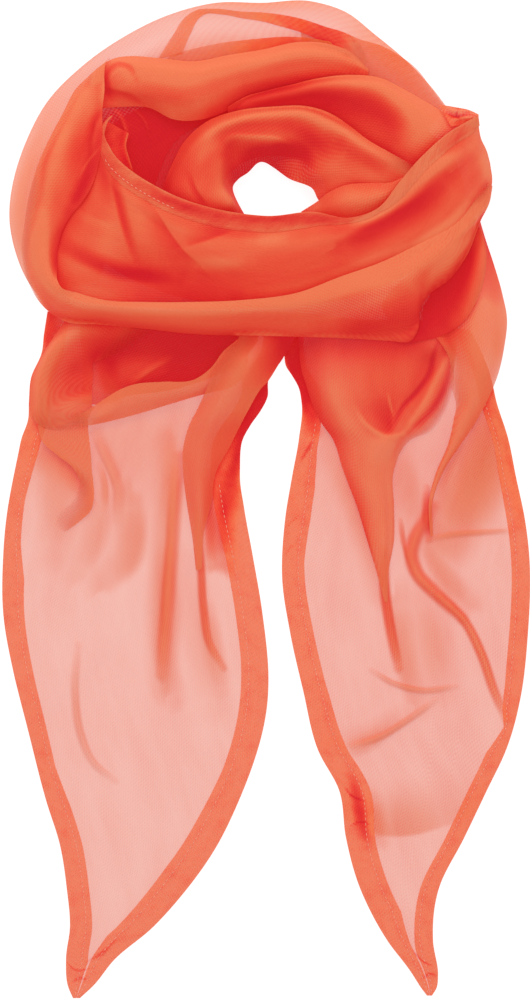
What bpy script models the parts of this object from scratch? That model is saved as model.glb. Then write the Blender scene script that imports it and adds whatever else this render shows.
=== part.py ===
"""A long chiffon scarf with pointed ends, wound into a loose double loop and laid flat.

The scarf lies on the floor plane z = 0. X runs to the right, Y up the scarf from the two
pointed tails to the loop, and Z out of the floor. Each stretch of cloth that shows is a
thin wall of its own, lofted through a short table of sections, and each one lies on those
made before it.
"""
import math

import bpy
import numpy as np

# Driving dimensions, in metres.
SCARF_LENGTH = 0.658      # tip of the tails to the top of the loop
WALL = 0.0012             # thickness of one stretch of cloth
GAP = 0.0003              # clearance between two stretches
FINE_STEPS = 80           # steps that measure a section's length
HEM_SHARE = 0.48          # most of a narrow section that one hem may take
HEM_WIDTH = 0.015         # turned hem along the edges of the tails
FRONT_HEM_WIDTH = 0.0105  # turned hem along the top edge of the front stretch, seen tilted
CORE_HEIGHT = 0.011       # the hidden turns inside the loop
NECK_HALF = (0.0335, 0.0225)   # half axes of the opening through the hidden turns
CORE_HALF = (0.134, 0.0756)    # half axes of the hidden turns, outside
ROUGHNESS = 0.7                # of the cloth, which has a soft low sheen

# The plan grid of the tables: GRID metres to a unit, x to the right and y down the scarf
# from the top of the loop, as on a cutting plan. Heights in the tables are millimetres.
GRID = SCARF_LENGTH / 996
PLAN_MIDDLE = 265.5
PLAN_FOOT = 499.5
MILLI = 0.001

# The heap: a height map of all that is laid so far, in square cells.
CELL = 0.0005
HEAP_HALF = (0.19, 0.35)
SPREAD = 1                # cells that a height is carried sideways
QUAD_STEPS = 32           # samples along each side of a quad
LIFT_ROUNDS = 3
EASE_ROUNDS = 4
TINY = 1e-9               # keeps a length from being divided by zero

# Quads of a tail, along and across.
TAIL_QUADS = (26, 9)
FOLD_POINTS = 16          # points that a fold's centre line is drawn through
FOLD_END = 0.06           # share of a fold's length at each end where it is already low
FOLD_EASE = 0.5           # how quickly a fold rises from its ends

# The hidden turns: centres of the opening and of the outside in plan units, and the profile
# from the one to the other. Columns: share of the way out, share of the height.
NECK_CENTRE = (274, 190, 0)
CORE_CENTRE = (265, 196, 0)
CORE_STEPS = 40
CORE_PROFILE = (
    (0.0, 0.0), (0.0, 0.35), (0.12, 0.8), (0.4, 1.0),
    (0.7, 0.95), (0.92, 0.6), (1.0, 0.2), (1.0, 0.0),
)

CHIFFON = (0.86, 0.16, 0.07, 1.0)
HEM_COLOUR = (0.84, 0.12, 0.05, 1.0)

# ---------------------------------------------------------------- tables of sections
# Tails, from the swag down to the tip. Columns: left_x, left_y, right_x, right_y.
LEFT_TAIL = (
    (48, 311.5, 285, 311.5), (45, 334, 284, 352), (40, 354, 273, 372), (31, 378, 267, 397),
    (28, 420, 247, 428), (18, 455, 240, 470), (6, 510, 244, 507), (2, 560, 253, 557), (3, 610, 262, 610),
    (13, 670, 268.5, 678), (28, 730, 264, 725), (46, 800, 240, 798), (60, 845, 215, 849),
    (67, 890, 182, 895), (70, 925, 152, 928), (66, 960, 114, 960), (68, 986, 93, 986),
    (73, 998, 80, 998),
)
RIGHT_TAIL = (
    (288.5, 311.5, 504, 302), (288.5, 355, 504, 340), (295, 376, 500, 364), (302, 400, 493, 390),
    (300, 440, 506, 438), (292, 477, 516, 477), (285, 520, 525, 520), (282, 575, 530, 570),
    (290, 632, 528, 632), (303, 690, 521, 695), (318, 750, 506, 750), (339, 790, 487, 790),
    (346, 838, 464, 838),
    (360, 888, 439, 888), (387, 940, 433, 940), (411, 972, 438, 975), (422, 989, 436, 989),
    (427, 995.5, 432, 995.5),
)

# Every other stretch: one row a section, one (x, y, z) for each of the rails named above it.
# Rails: top, middle, bottom.
LEFT_POCKET = (
    ((92, 316, 4), (95, 356, 3), (94, 398, 3)),
    ((130, 316, 6), (130, 354, 3), (130, 392, 3)),
    ((170, 316, 6), (170, 352, 3), (170, 388, 3)),
    ((222, 316, 5), (217, 346, 4), (205, 378, 4)),
)
# Rails: outer, crown, hollow, inner.
LEFT_LOBE = (
    ((66, 315, 6), (76, 319, 11), (92, 322, 11), (110, 322, 8)),
    ((56, 332, 7), (68, 331, 16), (88, 335, 13), (106, 337, 9)),
    ((46, 350, 5), (60, 344, 17), (84, 350, 11), (103, 352, 7)),
    ((34, 371, 4), (50, 366, 16), (76, 376, 8), (96, 376, 5)),
    ((31, 395, 4), (46, 394, 14), (70, 402, 7), (93, 402, 5)),
    ((33, 418, 4), (50, 420, 10), (70, 424, 7), (91, 426, 6)),
    ((44, 443, 4), (58, 440, 8), (74, 442, 7), (91, 444, 5)),
    ((66, 461, 4), (74, 456, 7), (82, 458, 6), (92, 460, 5)),
    ((88, 480, 4), (90, 478, 5), (92, 477, 5), (94, 477, 4)),
)
# Rails: lip, middle, bottom.
LEFT_LIP = (
    ((92, 404, 8), (91, 416, 8), (90, 429, 4)),
    ((112, 394, 9), (112, 407, 8), (111, 420, 4)),
    ((134, 386, 10), (134, 400, 9), (133, 413, 4)),
    ((168, 382, 11), (166, 394, 9), (164, 406, 4)),
    ((196, 378, 12), (196, 389, 10), (196, 399, 5)),
)
# Rails: outer, crown, inner.
LEFT_FOLD = (
    ((236, 318, 8), (258, 318, 12), (286, 320, 6)),
    ((226, 345, 9), (252, 344, 16), (283, 351, 6)),
    ((211, 369, 8), (236, 368, 17), (270, 378, 5)),
    ((202, 394, 6), (225, 395, 15), (257, 399, 5)),
    ((190, 422, 5), (210, 424, 12), (242, 419, 4)),
    ((184, 447, 4), (202, 449, 9), (228, 444, 4)),
    ((183, 470, 4), (198, 472, 7), (216, 470, 4)),
    ((187, 505, 3), (197, 505, 6), (207, 503, 3)),
    ((192, 535, 3), (198, 535, 5), (203, 533, 3)),
    ((198, 562, 2.5), (200, 562, 3), (202, 562, 2.5)),
)
# Rails: left, left_ridge, hollow, right_ridge, right.
RIGHT_SCOOP = (
    ((302, 320, 5), (325, 320, 10), (368, 320, 11), (412, 320, 12), (444, 318, 9)),
    ((302, 344, 5), (325, 344, 13), (368, 345, 12), (416, 346, 15), (452, 344, 9)),
    ((303, 366, 5), (326, 368, 15), (377, 372, 10), (430, 370, 16), (456, 364, 9)),
    ((309, 388, 5), (332, 392, 16), (384, 396, 8), (430, 393, 14), (448, 388, 7)),
    ((318, 405, 4), (338, 410, 15), (388, 414, 6), (420, 413, 12), (435, 410, 6)),
    ((328, 422, 4), (345, 426, 12), (388, 428, 8), (404, 428, 10), (416, 428, 5)),
    ((337, 439, 4), (350, 442, 9), (370, 446, 7), (386, 443, 7), (394, 439, 4)),
    ((344, 471, 3), (355, 473, 7), (370, 474, 6), (386, 473, 6), (394, 471, 3)),
    ((356, 507, 3), (364, 508, 6), (375, 508, 5), (387, 507, 5), (394, 507, 3)),
    ((366, 536, 3), (372, 537, 5), (379, 537, 5), (386, 537, 4), (392, 536, 3)),
    ((375, 572, 2.5), (378, 572, 4), (382, 572, 4), (386, 572, 4), (389, 572, 2.5)),
    ((383, 612, 2.5), (384, 612, 3), (385, 612, 3), (387, 612, 3), (388, 612, 2.5)),
)
# Rails: inner, hollow, crown, outer.
RIGHT_SIDE = (
    ((468, 226, 8), (473, 226, 10), (479, 227, 9), (484, 229, 3)),
    ((455, 262, 8), (466, 260, 13), (484, 258, 15), (495, 263, 4)),
    ((446, 295, 9), (460, 293, 14), (486, 290, 19), (502, 296, 4)),
    ((446, 322, 9), (462, 322, 15), (488, 320, 20), (507, 322, 4)),
    ((452, 350, 9), (466, 350, 14), (486, 348, 18), (503, 351, 4)),
    ((455, 378, 8), (467, 378, 12), (482, 376, 15), (496, 379, 4)),
    ((454, 408, 6), (462, 408, 9), (473, 406, 11), (485, 406, 3)),
    ((446, 446, 4), (451, 446, 7), (457, 446, 7), (464, 445, 3)),
    ((434, 481, 3), (437, 481, 5), (440, 481, 5), (444, 481, 3)),
    ((428, 512, 2.5), (430, 512, 4), (432, 512, 4), (434, 512, 2.5)),
    ((430, 538, 2.5), (431, 538, 3), (433, 538, 3), (434, 538, 2.5)),
)
# Rails: edge, crown, inner.
OUTER_TURN = (
    ((49, 311, 5), (56, 300, 15), (66, 290, 13)),
    ((25, 276, 6), (42, 272, 25), (72, 262, 14)),
    ((11, 232, 7), (36, 230, 31), (84, 230, 15)),
    ((11, 195, 7), (40, 194, 32), (100, 198, 16)),
    ((25, 145, 7), (58, 150, 30), (112, 162, 16)),
    ((49, 100, 6), (80, 112, 25), (122, 132, 15)),
    ((84, 65, 5), (108, 82, 19), (140, 108, 14)),
    ((124, 37, 4), (140, 58, 13), (165, 98, 14)),
    ((169, 15, 3), (178, 40, 10), (195, 92, 14)),
    ((216, 3, 3), (218, 30, 8), (228, 88, 14)),
    ((262, 3, 3), (262, 30, 8), (262, 82, 14)),
    ((311, 1.5, 4), (306, 28, 11), (300, 76, 14)),
    ((345, 12, 5), (334, 34, 15), (322, 76, 14)),
    ((375, 35, 6), (360, 52, 18), (345, 84, 14)),
    ((405, 60, 6), (388, 74, 19), (368, 98, 14)),
    ((430, 86, 6), (412, 98, 19), (392, 116, 14)),
    ((447, 108, 5), (436, 120, 17), (420, 134, 14)),
)
# Rails: outer, inner.
BACK_HEM = (
    ((156, 62, 0), (176, 62, 0)),
    ((169, 38, 0), (190, 38, 0)),
    ((185, 16, 0), (205, 18, 0)),
    ((205, 9, 0), (215, 17, 0)),
    ((240, 9, 0), (238, 20, 0)),
    ((275, 14, 0), (272, 26, 0)),
    ((310, 21, 0), (304, 36, 0)),
    ((340, 29, 0), (330, 46, 0)),
    ((358, 44, 0), (346, 56, 0)),
)
# Rails: edge, crown, low.
UPPER_ROLL = (
    ((104, 78, 12), (105, 92, 20), (107, 108, 15)),
    ((109, 61, 12), (116, 82, 29), (124, 107, 16)),
    ((130, 56, 12), (138, 84, 34), (150, 111, 17)),
    ((160, 59, 11), (165, 88, 35), (172, 120, 18)),
    ((195, 62, 11), (196, 90, 34), (198, 121, 18)),
    ((228, 55, 11), (226, 82, 31), (226, 110, 17)),
    ((262, 50, 11), (258, 72, 29), (256, 95, 17)),
    ((298, 42, 11), (294, 64, 27), (290, 87, 17)),
    ((328, 46, 12), (325, 64, 26), (322, 84, 17)),
    ((350, 55, 13), (348, 68, 24), (346, 83, 17)),
    ((366, 72, 14), (366, 78, 19), (366, 84, 17)),
)
# Rails: edge, ridge, slope, low.
RIGHT_ROLL = (
    ((255, 97, 16), (254, 101, 21), (252, 108, 19), (250, 116, 17)),
    ((287, 86, 16), (286, 92, 27), (286, 102, 21), (285, 113, 17)),
    ((320, 79, 17), (319, 88, 31), (318, 101, 23), (315, 115, 17)),
    ((350, 76, 18), (348, 87, 33), (343, 105, 25), (336, 125, 17)),
    ((380, 79, 18), (376, 92, 34), (367, 115, 27), (355, 139, 18)),
    ((403, 90, 18), (397, 104, 34), (387, 127, 29), (375, 154, 19)),
    ((426, 103, 17), (418, 118, 33), (406, 141, 30), (394, 168, 21)),
    ((446, 116, 15), (436, 130, 30), (421, 153, 28), (407, 180, 20)),
    ((462, 128, 13), (452, 143, 25), (436, 165, 24), (420, 190, 18)),
)
# Rails: low, ridge, inside, rim.
INNER_RING = (
    ((158, 200, 16), (180, 206, 24), (212, 215, 15), (248, 222, 4)),
    ((162, 184, 16), (184, 188, 27), (210, 196, 17), (236, 204, 4)),
    ((171, 163, 16), (192, 168, 29), (213, 179, 17), (232, 191, 4)),
    ((186, 142, 16), (204, 150, 30), (222, 166, 16), (240, 179, 4)),
    ((208, 122, 16), (220, 132, 31), (236, 153, 15), (249, 173, 4)),
    ((238, 111, 16), (243, 121, 32), (251, 143, 15), (257, 164, 4)),
    ((275, 107, 16), (273, 117, 32), (269, 141, 14), (266, 163, 4)),
    ((308, 107, 16), (303, 118, 32), (289, 146, 14), (276, 170, 4)),
    ((335, 117, 16), (326, 129, 31), (308, 154, 15), (289, 179, 4)),
    ((362, 138, 17), (350, 147, 30), (326, 166, 16), (303, 185, 4)),
    ((390, 154, 18), (374, 163, 28), (343, 178, 17), (314, 191, 4)),
    ((410, 166, 18), (388, 178, 26), (352, 192, 16), (318, 201, 4)),
)
# Rails: edge, middle, low.
INNER_PETAL = (
    ((301, 212, 8), (305, 215, 10), (310, 220, 12)),
    ((317, 202, 12), (318, 209, 16), (319, 218, 16)),
    ((327, 194, 18), (330, 206, 22), (333, 222, 20)),
    ((345, 186, 22), (348, 200, 27), (350, 222, 22)),
    ((368, 184, 24), (370, 198, 29), (372, 218, 22)),
    ((392, 183, 25), (390, 193, 28), (388, 208, 22)),
    ((402, 178, 25), (400, 185, 26), (398, 196, 22)),
)
# Rails: inner, hollow, lip, edge.
SWAG_POCKET = (
    ((396, 326, 16), (402, 331, 17), (409, 336, 18), (414, 341, 14)),
    ((412, 306, 15), (420, 316, 16), (429, 327, 19), (436, 336, 13)),
    ((426, 290, 15), (435, 300, 16), (446, 312, 19), (456, 320, 13)),
    ((442, 276, 14), (450, 284, 16), (460, 292, 18), (469, 299, 12)),
    ((458, 260, 13), (464, 264, 15), (471, 270, 17), (478, 276, 11)),
    ((468, 243, 12), (473, 244, 13), (479, 247, 14), (484, 250, 10)),
    ((476, 228, 10), (479, 228, 11), (482, 228, 11), (485, 228, 8)),
)
# Rails: hem, upper, valley, ridge, rim.
FRONT = (
    ((106, 122, 26), (98, 165, 26), (84, 215, 23), (64, 270, 24), (50, 309, 9)),
    ((110, 148, 29), (108, 190, 29), (95, 240, 24), (72, 287, 29), (56, 316, 9)),
    ((127, 170, 30), (125, 207, 32), (115, 258, 26), (88, 297, 34), (70, 324, 10)),
    ((150, 184, 31), (150, 222, 34), (145, 275, 28), (118, 302, 38), (100, 326, 11)),
    ((180, 199, 31), (182, 233, 34), (185, 284, 29), (160, 304, 40), (145, 329, 12)),
    ((220, 211, 29), (222, 242, 33), (225, 283, 29), (205, 304, 42), (190, 334, 13)),
    ((265, 217, 27), (265, 245, 32), (265, 277, 30), (255, 301, 43), (245, 336, 14)),
    ((312, 213, 28), (315, 238, 33), (312, 262, 31), (310, 291, 44), (305, 337, 14)),
    ((350, 219, 31), (358, 232, 34), (360, 244, 32), (365, 272, 44), (360, 340, 14)),
    ((378, 209, 33), (388, 222, 35), (398, 233, 33), (408, 257, 43), (410, 336, 15)),
    ((400, 182, 34), (418, 198, 36), (436, 212, 33), (446, 236, 39), (430, 296, 17)),
    ((422, 157, 34), (440, 175, 35), (456, 192, 31), (468, 218, 33), (462, 264, 15)),
    ((448, 134, 31), (460, 154, 31), (472, 175, 28), (482, 200, 25), (479, 230, 10)),
    ((466, 123, 26), (474, 138, 25), (481, 155, 21), (487, 173, 17), (491, 196, 6)),
    ((476, 116, 20), (479, 126, 17), (482, 138, 13), (486, 150, 10), (490, 165, 5)),
)
# Rails: back, front.
HEM_CORNER = (
    ((440, 104, 20), (450, 124, 24)),
    ((458, 107, 22), (464, 124, 25)),
    ((478, 116, 22), (476, 123, 22)),
)

# Folds across the tails. Columns: centre line, height in millimetres, half width in plan units.
LEFT_TAIL_FOLDS = (
    (((92, 480), (94, 498), (86, 514), (66, 530)), 5.0, 12),
    (((170, 450), (168, 500), (165, 560), (162, 660)), 3.5, 12),
    (((205, 560), (208, 620), (225, 668)), 4.0, 16),
    (((78, 660), (82, 720), (92, 762), (112, 776)), 4.0, 14),
)
RIGHT_TAIL_FOLDS = (
    (((388, 610), (392, 645), (400, 668)), 4.0, 14),
    (((415, 540), (414, 565), (440, 597), (470, 630), (488, 680), (504, 716)), 5.0, 15),
    (((340, 742), (358, 746), (395, 720), (425, 698)), 4.0, 15),
    (((430, 537), (468, 533), (507, 528)), 3.0, 10),
)


# ---------------------------------------------------------------- geometry helpers
def plan_to_world(points):
    """Table points (x, y, z) to metres: the plan's y runs down the scarf."""
    points = np.asarray(points, dtype=float)
    world = np.empty(points.shape)
    world[..., 0] = (points[..., 0] - PLAN_MIDDLE) * GRID
    world[..., 1] = (PLAN_FOOT - points[..., 1]) * GRID
    world[..., 2] = points[..., 2] * MILLI
    return world


def hermite(points, count, axis=0):
    """A smooth curve through points along one axis, read at count even steps of length."""
    points = np.moveaxis(points, axis, 0)
    steps = np.linalg.norm(np.diff(points, axis=0), axis=-1)
    steps = steps.reshape(len(points) - 1, -1).mean(axis=1)
    knots = np.concatenate(([0.0], np.cumsum(np.maximum(steps, TINY))))
    spans = np.diff(knots).reshape((-1,) + (1,) * (points.ndim - 1))
    slopes = np.diff(points, axis=0) / spans
    tangents = np.empty_like(points)
    tangents[0] = slopes[0]
    tangents[-1] = slopes[-1]
    tangents[1:-1] = (slopes[:-1] * spans[1:] + slopes[1:] * spans[:-1]) / (spans[:-1] + spans[1:])
    reads = np.linspace(0.0, knots[-1], count)
    index = np.clip(np.searchsorted(knots, reads, side="right") - 1, 0, len(knots) - 2)
    shape = (-1,) + (1,) * (points.ndim - 1)
    t = ((reads - knots[index]) / np.diff(knots)[index]).reshape(shape)
    span = np.diff(knots)[index].reshape(shape)
    curve = (
        (2 * t**3 - 3 * t**2 + 1) * points[index]
        + (t**3 - 2 * t**2 + t) * span * tangents[index]
        + (3 * t**2 - 2 * t**3) * points[index + 1]
        + (t**3 - t**2) * span * tangents[index + 1]
    )
    return np.moveaxis(curve, 0, axis)


def loft(rows, along, across, hems=(0.0, 0.0)):
    """A grid of points through a table of sections: along x across quads.

    Where an edge has a hem, the first column of quads beside it is as wide as the hem.
    """
    rails = plan_to_world(rows)
    fine = hermite(hermite(rails, along + 1, 0), FINE_STEPS, 1)
    run = np.cumsum(np.linalg.norm(np.diff(fine, axis=1), axis=-1), axis=1)
    run = np.concatenate((np.zeros((along + 1, 1)), run), axis=1)
    grid = np.empty((along + 1, across + 1, 3))
    for i, length in enumerate(run[:, -1]):
        first, last = (min(hem, length * HEM_SHARE) for hem in hems)
        places = np.linspace(first, length - last, across + 1 - sum(hem > 0 for hem in hems))
        places = ([0.0] if first else []) + list(places) + ([length] if last else [])
        for axis in range(3):
            grid[i, :, axis] = np.interp(places, run[i], fine[i, :, axis])
    grid[..., 2] = np.maximum(grid[..., 2], WALL)
    return grid


def tucked(rows, reach, drop, last=True):
    """Rows with one more rail, turned under at the last or the first edge."""
    result = []
    for row in rows:
        edge = np.array(row[-1 if last else 0], dtype=float)
        beside = np.array(row[-2 if last else 1], dtype=float)
        inward = beside[:2] - edge[:2]
        inward /= max(np.linalg.norm(inward), 1.0)
        under = (*(edge[:2] + inward * reach), max(edge[2] - drop, WALL / MILLI))
        result.append((*row, under) if last else (under, *row))
    return result


def line_distance(x, y, line):
    """Distance from points to a poly-line, and how far along it (0 to 1) the nearest is."""
    line = np.asarray(line, dtype=float)
    lengths = np.linalg.norm(np.diff(line, axis=0), axis=1)
    starts = np.concatenate(([0.0], np.cumsum(lengths)))
    best = np.full(x.shape, np.inf)
    where = np.zeros(x.shape)
    for k, length in enumerate(lengths):
        dx, dy = (line[k + 1] - line[k]) / length
        along = np.clip((x - line[k, 0]) * dx + (y - line[k, 1]) * dy, 0.0, length)
        gap = np.hypot(x - line[k, 0] - along * dx, y - line[k, 1] - along * dy)
        nearer = gap < best
        best = np.where(nearer, gap, best)
        where = np.where(nearer, (starts[k] + along) / starts[-1], where)
    return best, where


def add_folds(grid, folds):
    """Raise soft ridges in a sheet, dying away at both ends of each fold."""
    x = grid[..., 0] / GRID + PLAN_MIDDLE
    y = PLAN_FOOT - grid[..., 1] / GRID
    for line, height, half_width in folds:
        gap, where = line_distance(x, y, hermite(np.array(line, dtype=float), FOLD_POINTS))
        ridge = np.maximum(np.cos(np.clip(gap / half_width, 0, 1) * math.pi / 2), 0) ** 2
        fade = np.sin(math.pi * np.clip(where, FOLD_END, 1 - FOLD_END)) ** FOLD_EASE
        grid[..., 2] += height * MILLI * ridge * fade
    return grid


def normals(grid):
    """Unit normals of a grid of points, pointing away from the floor."""
    normal = np.cross(np.gradient(grid, axis=0), np.gradient(grid, axis=1))
    normal /= np.maximum(np.linalg.norm(normal, axis=-1, keepdims=True), TINY)
    if normal[..., 2].sum() < 0:
        normal = -normal
    return normal


def samples(grid):
    """Closely spaced points on the two triangles of each quad, with their place in the quad."""
    steps = np.linspace(0, 1, QUAD_STEPS)
    for s in steps:
        for t in steps:
            far = grid[1:, :-1] if s >= t else grid[:-1, 1:]
            low, high = min(s, t), max(s, t)
            yield (1 - high) * grid[:-1, :-1] + (high - low) * far + low * grid[1:, 1:]


class Heap:
    """Height map of the cloth laid so far, so that each stretch lies on those below it."""

    def __init__(self):
        self.shape = [int(2 * half / CELL) + 1 for half in HEAP_HALF]
        self.top = np.zeros(self.shape)

    def cells(self, points):
        """The cell of each point, as two index arrays."""
        index = [
            np.clip(np.rint((points[..., k] + HEAP_HALF[k]) / CELL).astype(int), 0, self.shape[k] - 1)
            for k in (0, 1)
        ]
        return tuple(index)

    def spread(self):
        """The heap with every height carried SPREAD cells sideways."""
        padded = np.pad(self.top, SPREAD)
        side = range(2 * SPREAD + 1)
        shifts = [padded[i:i + self.shape[0], j:j + self.shape[1]] for i in side for j in side]
        return np.max(shifts, axis=0)

    def shortfall(self, grid):
        """How far each quad's lower skin falls short of clearing the heap (negative: spare)."""
        top = self.spread()
        worst = np.full((grid.shape[0] - 1, grid.shape[1] - 1), -np.inf)
        for skin in (grid, grid - normals(grid) * WALL):
            for points in samples(skin):
                below = top[self.cells(points)]
                short = np.where(below > 0, below + GAP - points[..., 2], -np.inf)
                np.maximum(worst, short, out=worst)
        return worst

    def lift(self, grid):
        """Raise a grid where it must, ease the lift out sideways, and seat it on the heap."""
        for _ in range(LIFT_ROUNDS):
            worst = np.maximum(self.shortfall(grid), 0.0)
            padded = np.pad(worst, 1)
            need = np.max([padded[:-1, :-1], padded[1:, :-1], padded[:-1, 1:], padded[1:, 1:]], axis=0)
            if need.max() <= 0:
                break
            eased = need.copy()
            for _ in range(EASE_ROUNDS):
                ring = np.pad(eased, 1, mode="edge")
                mean = (ring[:-2, 1:-1] + ring[2:, 1:-1] + ring[1:-1, :-2] + ring[1:-1, 2:]) / 4
                eased = np.maximum(need, (eased + mean) / 2)
            grid[..., 2] += eased
        spare = -self.shortfall(grid).max()
        if math.isfinite(spare) and spare > 0:
            grid[..., 2] = np.maximum(grid[..., 2] - spare, WALL)
        return grid

    def add(self, grid):
        """Enter a laid grid into the height map."""
        for points in samples(grid):
            np.maximum.at(self.top, self.cells(points), points[..., 2])


# ---------------------------------------------------------------- making objects
def material(name, colour):
    made = bpy.data.materials.get(name)
    if made is None:
        made = bpy.data.materials.new(name)
        made.use_nodes = True
        shader = made.node_tree.nodes["Principled BSDF"]
        shader.inputs["Base Color"].default_value = colour
        shader.inputs["Roughness"].default_value = ROUGHNESS
        shader.inputs["Metallic"].default_value = 0.0
        made.diffuse_color = colour
    return made


def make_object(name, vertices, faces, colour=CHIFFON, slot="chiffon"):
    mesh = bpy.data.meshes.new(name)
    mesh.from_pydata([tuple(v) for v in vertices], [], faces)
    mesh.materials.append(material(slot, colour))
    mesh.shade_smooth()
    made = bpy.data.objects.new(name, mesh)
    bpy.context.scene.collection.objects.link(made)
    return made


def make_wall(name, grid, colour=CHIFFON, slot="chiffon"):
    """One closed wall of cloth: the grid is its upper skin."""
    rows, columns = grid.shape[:2]
    under = grid - normals(grid) * WALL
    under[..., 2] = np.maximum(under[..., 2], 0.0)
    vertices = np.concatenate((grid.reshape(-1, 3), under.reshape(-1, 3)))
    count = rows * columns

    def at(i, j, low=0):
        return low * count + i * columns + j

    edge = [(i, 0) for i in range(rows)] + [(rows - 1, j) for j in range(1, columns)]
    edge += [(i, columns - 1) for i in range(rows - 2, -1, -1)]
    edge += [(0, j) for j in range(columns - 2, 0, -1)]
    faces = []
    for i in range(rows - 1):
        for j in range(columns - 1):
            faces.append((at(i, j), at(i + 1, j), at(i + 1, j + 1)))
            faces.append((at(i, j), at(i + 1, j + 1), at(i, j + 1)))
    faces += [tuple(v + count for v in reversed(face)) for face in faces]
    for a, b in zip(edge, edge[1:] + edge[:1]):
        faces.append((at(*b), at(*a), at(*a, 1), at(*b, 1)))
    i, j = rows // 2, columns // 2
    if np.cross(grid[i, j] - grid[i - 1, j], grid[i, j] - grid[i, j - 1])[2] < 0:
        faces = [tuple(reversed(face)) for face in faces]
    return make_object(name, vertices, faces, colour, slot)


def hem_on(name, panel, first, heap):
    """The hem along one edge of a laid panel: its first or last quads, moved out by the gap."""
    out = panel + normals(panel) * (WALL + GAP)
    strip = out[:, :2] if first else out[:, -2:]
    heap.add(strip)
    return make_wall(name, strip, HEM_COLOUR, "hem")


def lay(heap, name, rows, along, across, slot="chiffon", hems=(0.0, 0.0)):
    """Loft a stretch, lay it on the heap and make its wall: along x across quads."""
    grid = heap.lift(loft(rows, along, across, hems))
    heap.add(grid)
    make_wall(name, grid, CHIFFON, slot)
    return grid


def lay_tail(name, rows, folds, heap):
    """A tail: one layer, flat on the floor between its folds, with a hem on both edges."""
    high = WALL / MILLI
    sections = [
        ((left, top, high), ((left + right) / 2, (top + low) / 2, high), (right, low, high))
        for left, top, right, low in rows
    ]
    grid = add_folds(loft(sections, *TAIL_QUADS, (HEM_WIDTH, HEM_WIDTH)), folds)
    heap.add(grid)
    make_wall(name, grid)
    hem_on(name + "_hem_left", grid, True, heap)
    hem_on(name + "_hem_right", grid, False, heap)


def make_hidden_turns(heap):
    """The turns inside the loop that no one sees, as one rounded ring with a flat underside."""
    centre = plan_to_world((NECK_CENTRE, CORE_CENTRE))
    vertices, faces = [], []
    for k in range(CORE_STEPS):
        angle = 2 * math.pi * k / CORE_STEPS
        ray = np.array((math.cos(angle), math.sin(angle), 0.0))
        inner = centre[0] + ray * (*NECK_HALF, 0)
        outer = centre[1] + ray * (*CORE_HALF, 0)
        for across, height in CORE_PROFILE:
            point = inner + (outer - inner) * across
            vertices.append((point[0], point[1], height * CORE_HEIGHT))
    size = len(CORE_PROFILE)
    for k in range(CORE_STEPS):
        for j in range(size):
            a, b = k * size, (k + 1) % CORE_STEPS * size
            following = (j + 1) % size
            faces.append((a + j, a + following, b + following, b + j))
    make_object("hidden_turns", vertices, faces)
    grid = np.array(vertices).reshape(CORE_STEPS, size, 3)
    heap.add(np.concatenate((grid, grid[:1])))


def build():
    for old in list(bpy.data.objects):
        bpy.data.objects.remove(old, do_unlink=True)
    heap = Heap()
    make_hidden_turns(heap)
    lay_tail("left_tail", LEFT_TAIL, LEFT_TAIL_FOLDS, heap)
    lay_tail("right_tail", RIGHT_TAIL, RIGHT_TAIL_FOLDS, heap)
    lay(heap, "left_pocket", LEFT_POCKET, along=8, across=4)
    lay(heap, "left_lobe", LEFT_LOBE, along=12, across=6)
    lay(heap, "left_lip", LEFT_LIP, along=8, across=3)
    lay(heap, "left_fold", LEFT_FOLD, along=14, across=5)
    lay(heap, "right_scoop", RIGHT_SCOOP, along=16, across=8)
    lay(heap, "right_side", tucked(RIGHT_SIDE, reach=5, drop=3), along=16, across=6)
    lay(heap, "outer_turn", tucked(OUTER_TURN, reach=6, drop=4, last=False), along=30, across=7)
    lay(heap, "back_hem", BACK_HEM, along=14, across=2, slot="hem")
    lay(heap, "upper_roll", tucked(UPPER_ROLL, reach=6, drop=0, last=False), along=16, across=6)
    lay(heap, "right_roll", RIGHT_ROLL, along=12, across=6)
    lay(heap, "inner_ring", INNER_RING, along=18, across=7)
    lay(heap, "inner_petal", INNER_PETAL, along=8, across=4)
    lay(heap, "swag_pocket", SWAG_POCKET, along=10, across=4)
    rows = tucked(FRONT, reach=12, drop=7)
    front = lay(heap, "front", rows, along=28, across=13, hems=(FRONT_HEM_WIDTH, 0.0))
    hem_on("front_hem", front, True, heap)
    lay(heap, "hem_corner", HEM_CORNER, along=4, across=2, slot="hem")


build()
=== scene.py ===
"""Looks of the chiffon scarf: thin sheets of sheer cloth, folds, turned hems and stitches.

Every table is in plan units, x to the right and y down the scarf from the top of the loop,
with heights in millimetres. A sheet is laid on those made before it.
"""
import math

import bpy
import numpy as np
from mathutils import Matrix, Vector


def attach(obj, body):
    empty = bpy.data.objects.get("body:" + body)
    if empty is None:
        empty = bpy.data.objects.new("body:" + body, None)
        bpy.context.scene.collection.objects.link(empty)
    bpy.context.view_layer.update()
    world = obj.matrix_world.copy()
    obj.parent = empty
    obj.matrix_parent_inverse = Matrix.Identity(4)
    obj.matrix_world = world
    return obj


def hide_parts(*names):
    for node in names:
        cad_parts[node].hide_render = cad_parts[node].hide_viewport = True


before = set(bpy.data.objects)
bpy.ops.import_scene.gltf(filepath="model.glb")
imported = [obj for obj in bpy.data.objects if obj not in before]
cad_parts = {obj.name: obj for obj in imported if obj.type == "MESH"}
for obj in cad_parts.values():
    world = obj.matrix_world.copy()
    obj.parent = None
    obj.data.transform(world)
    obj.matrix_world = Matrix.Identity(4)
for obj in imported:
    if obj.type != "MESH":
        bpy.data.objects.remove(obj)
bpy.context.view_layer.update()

# ---------------------------------------------------------------- sizes
SCARF_LENGTH = 0.658            # tip of the tails to the top of the loop
PLAN_LENGTH = 996               # the same in plan units
GRID = SCARF_LENGTH / PLAN_LENGTH   # metres to a plan unit
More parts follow.
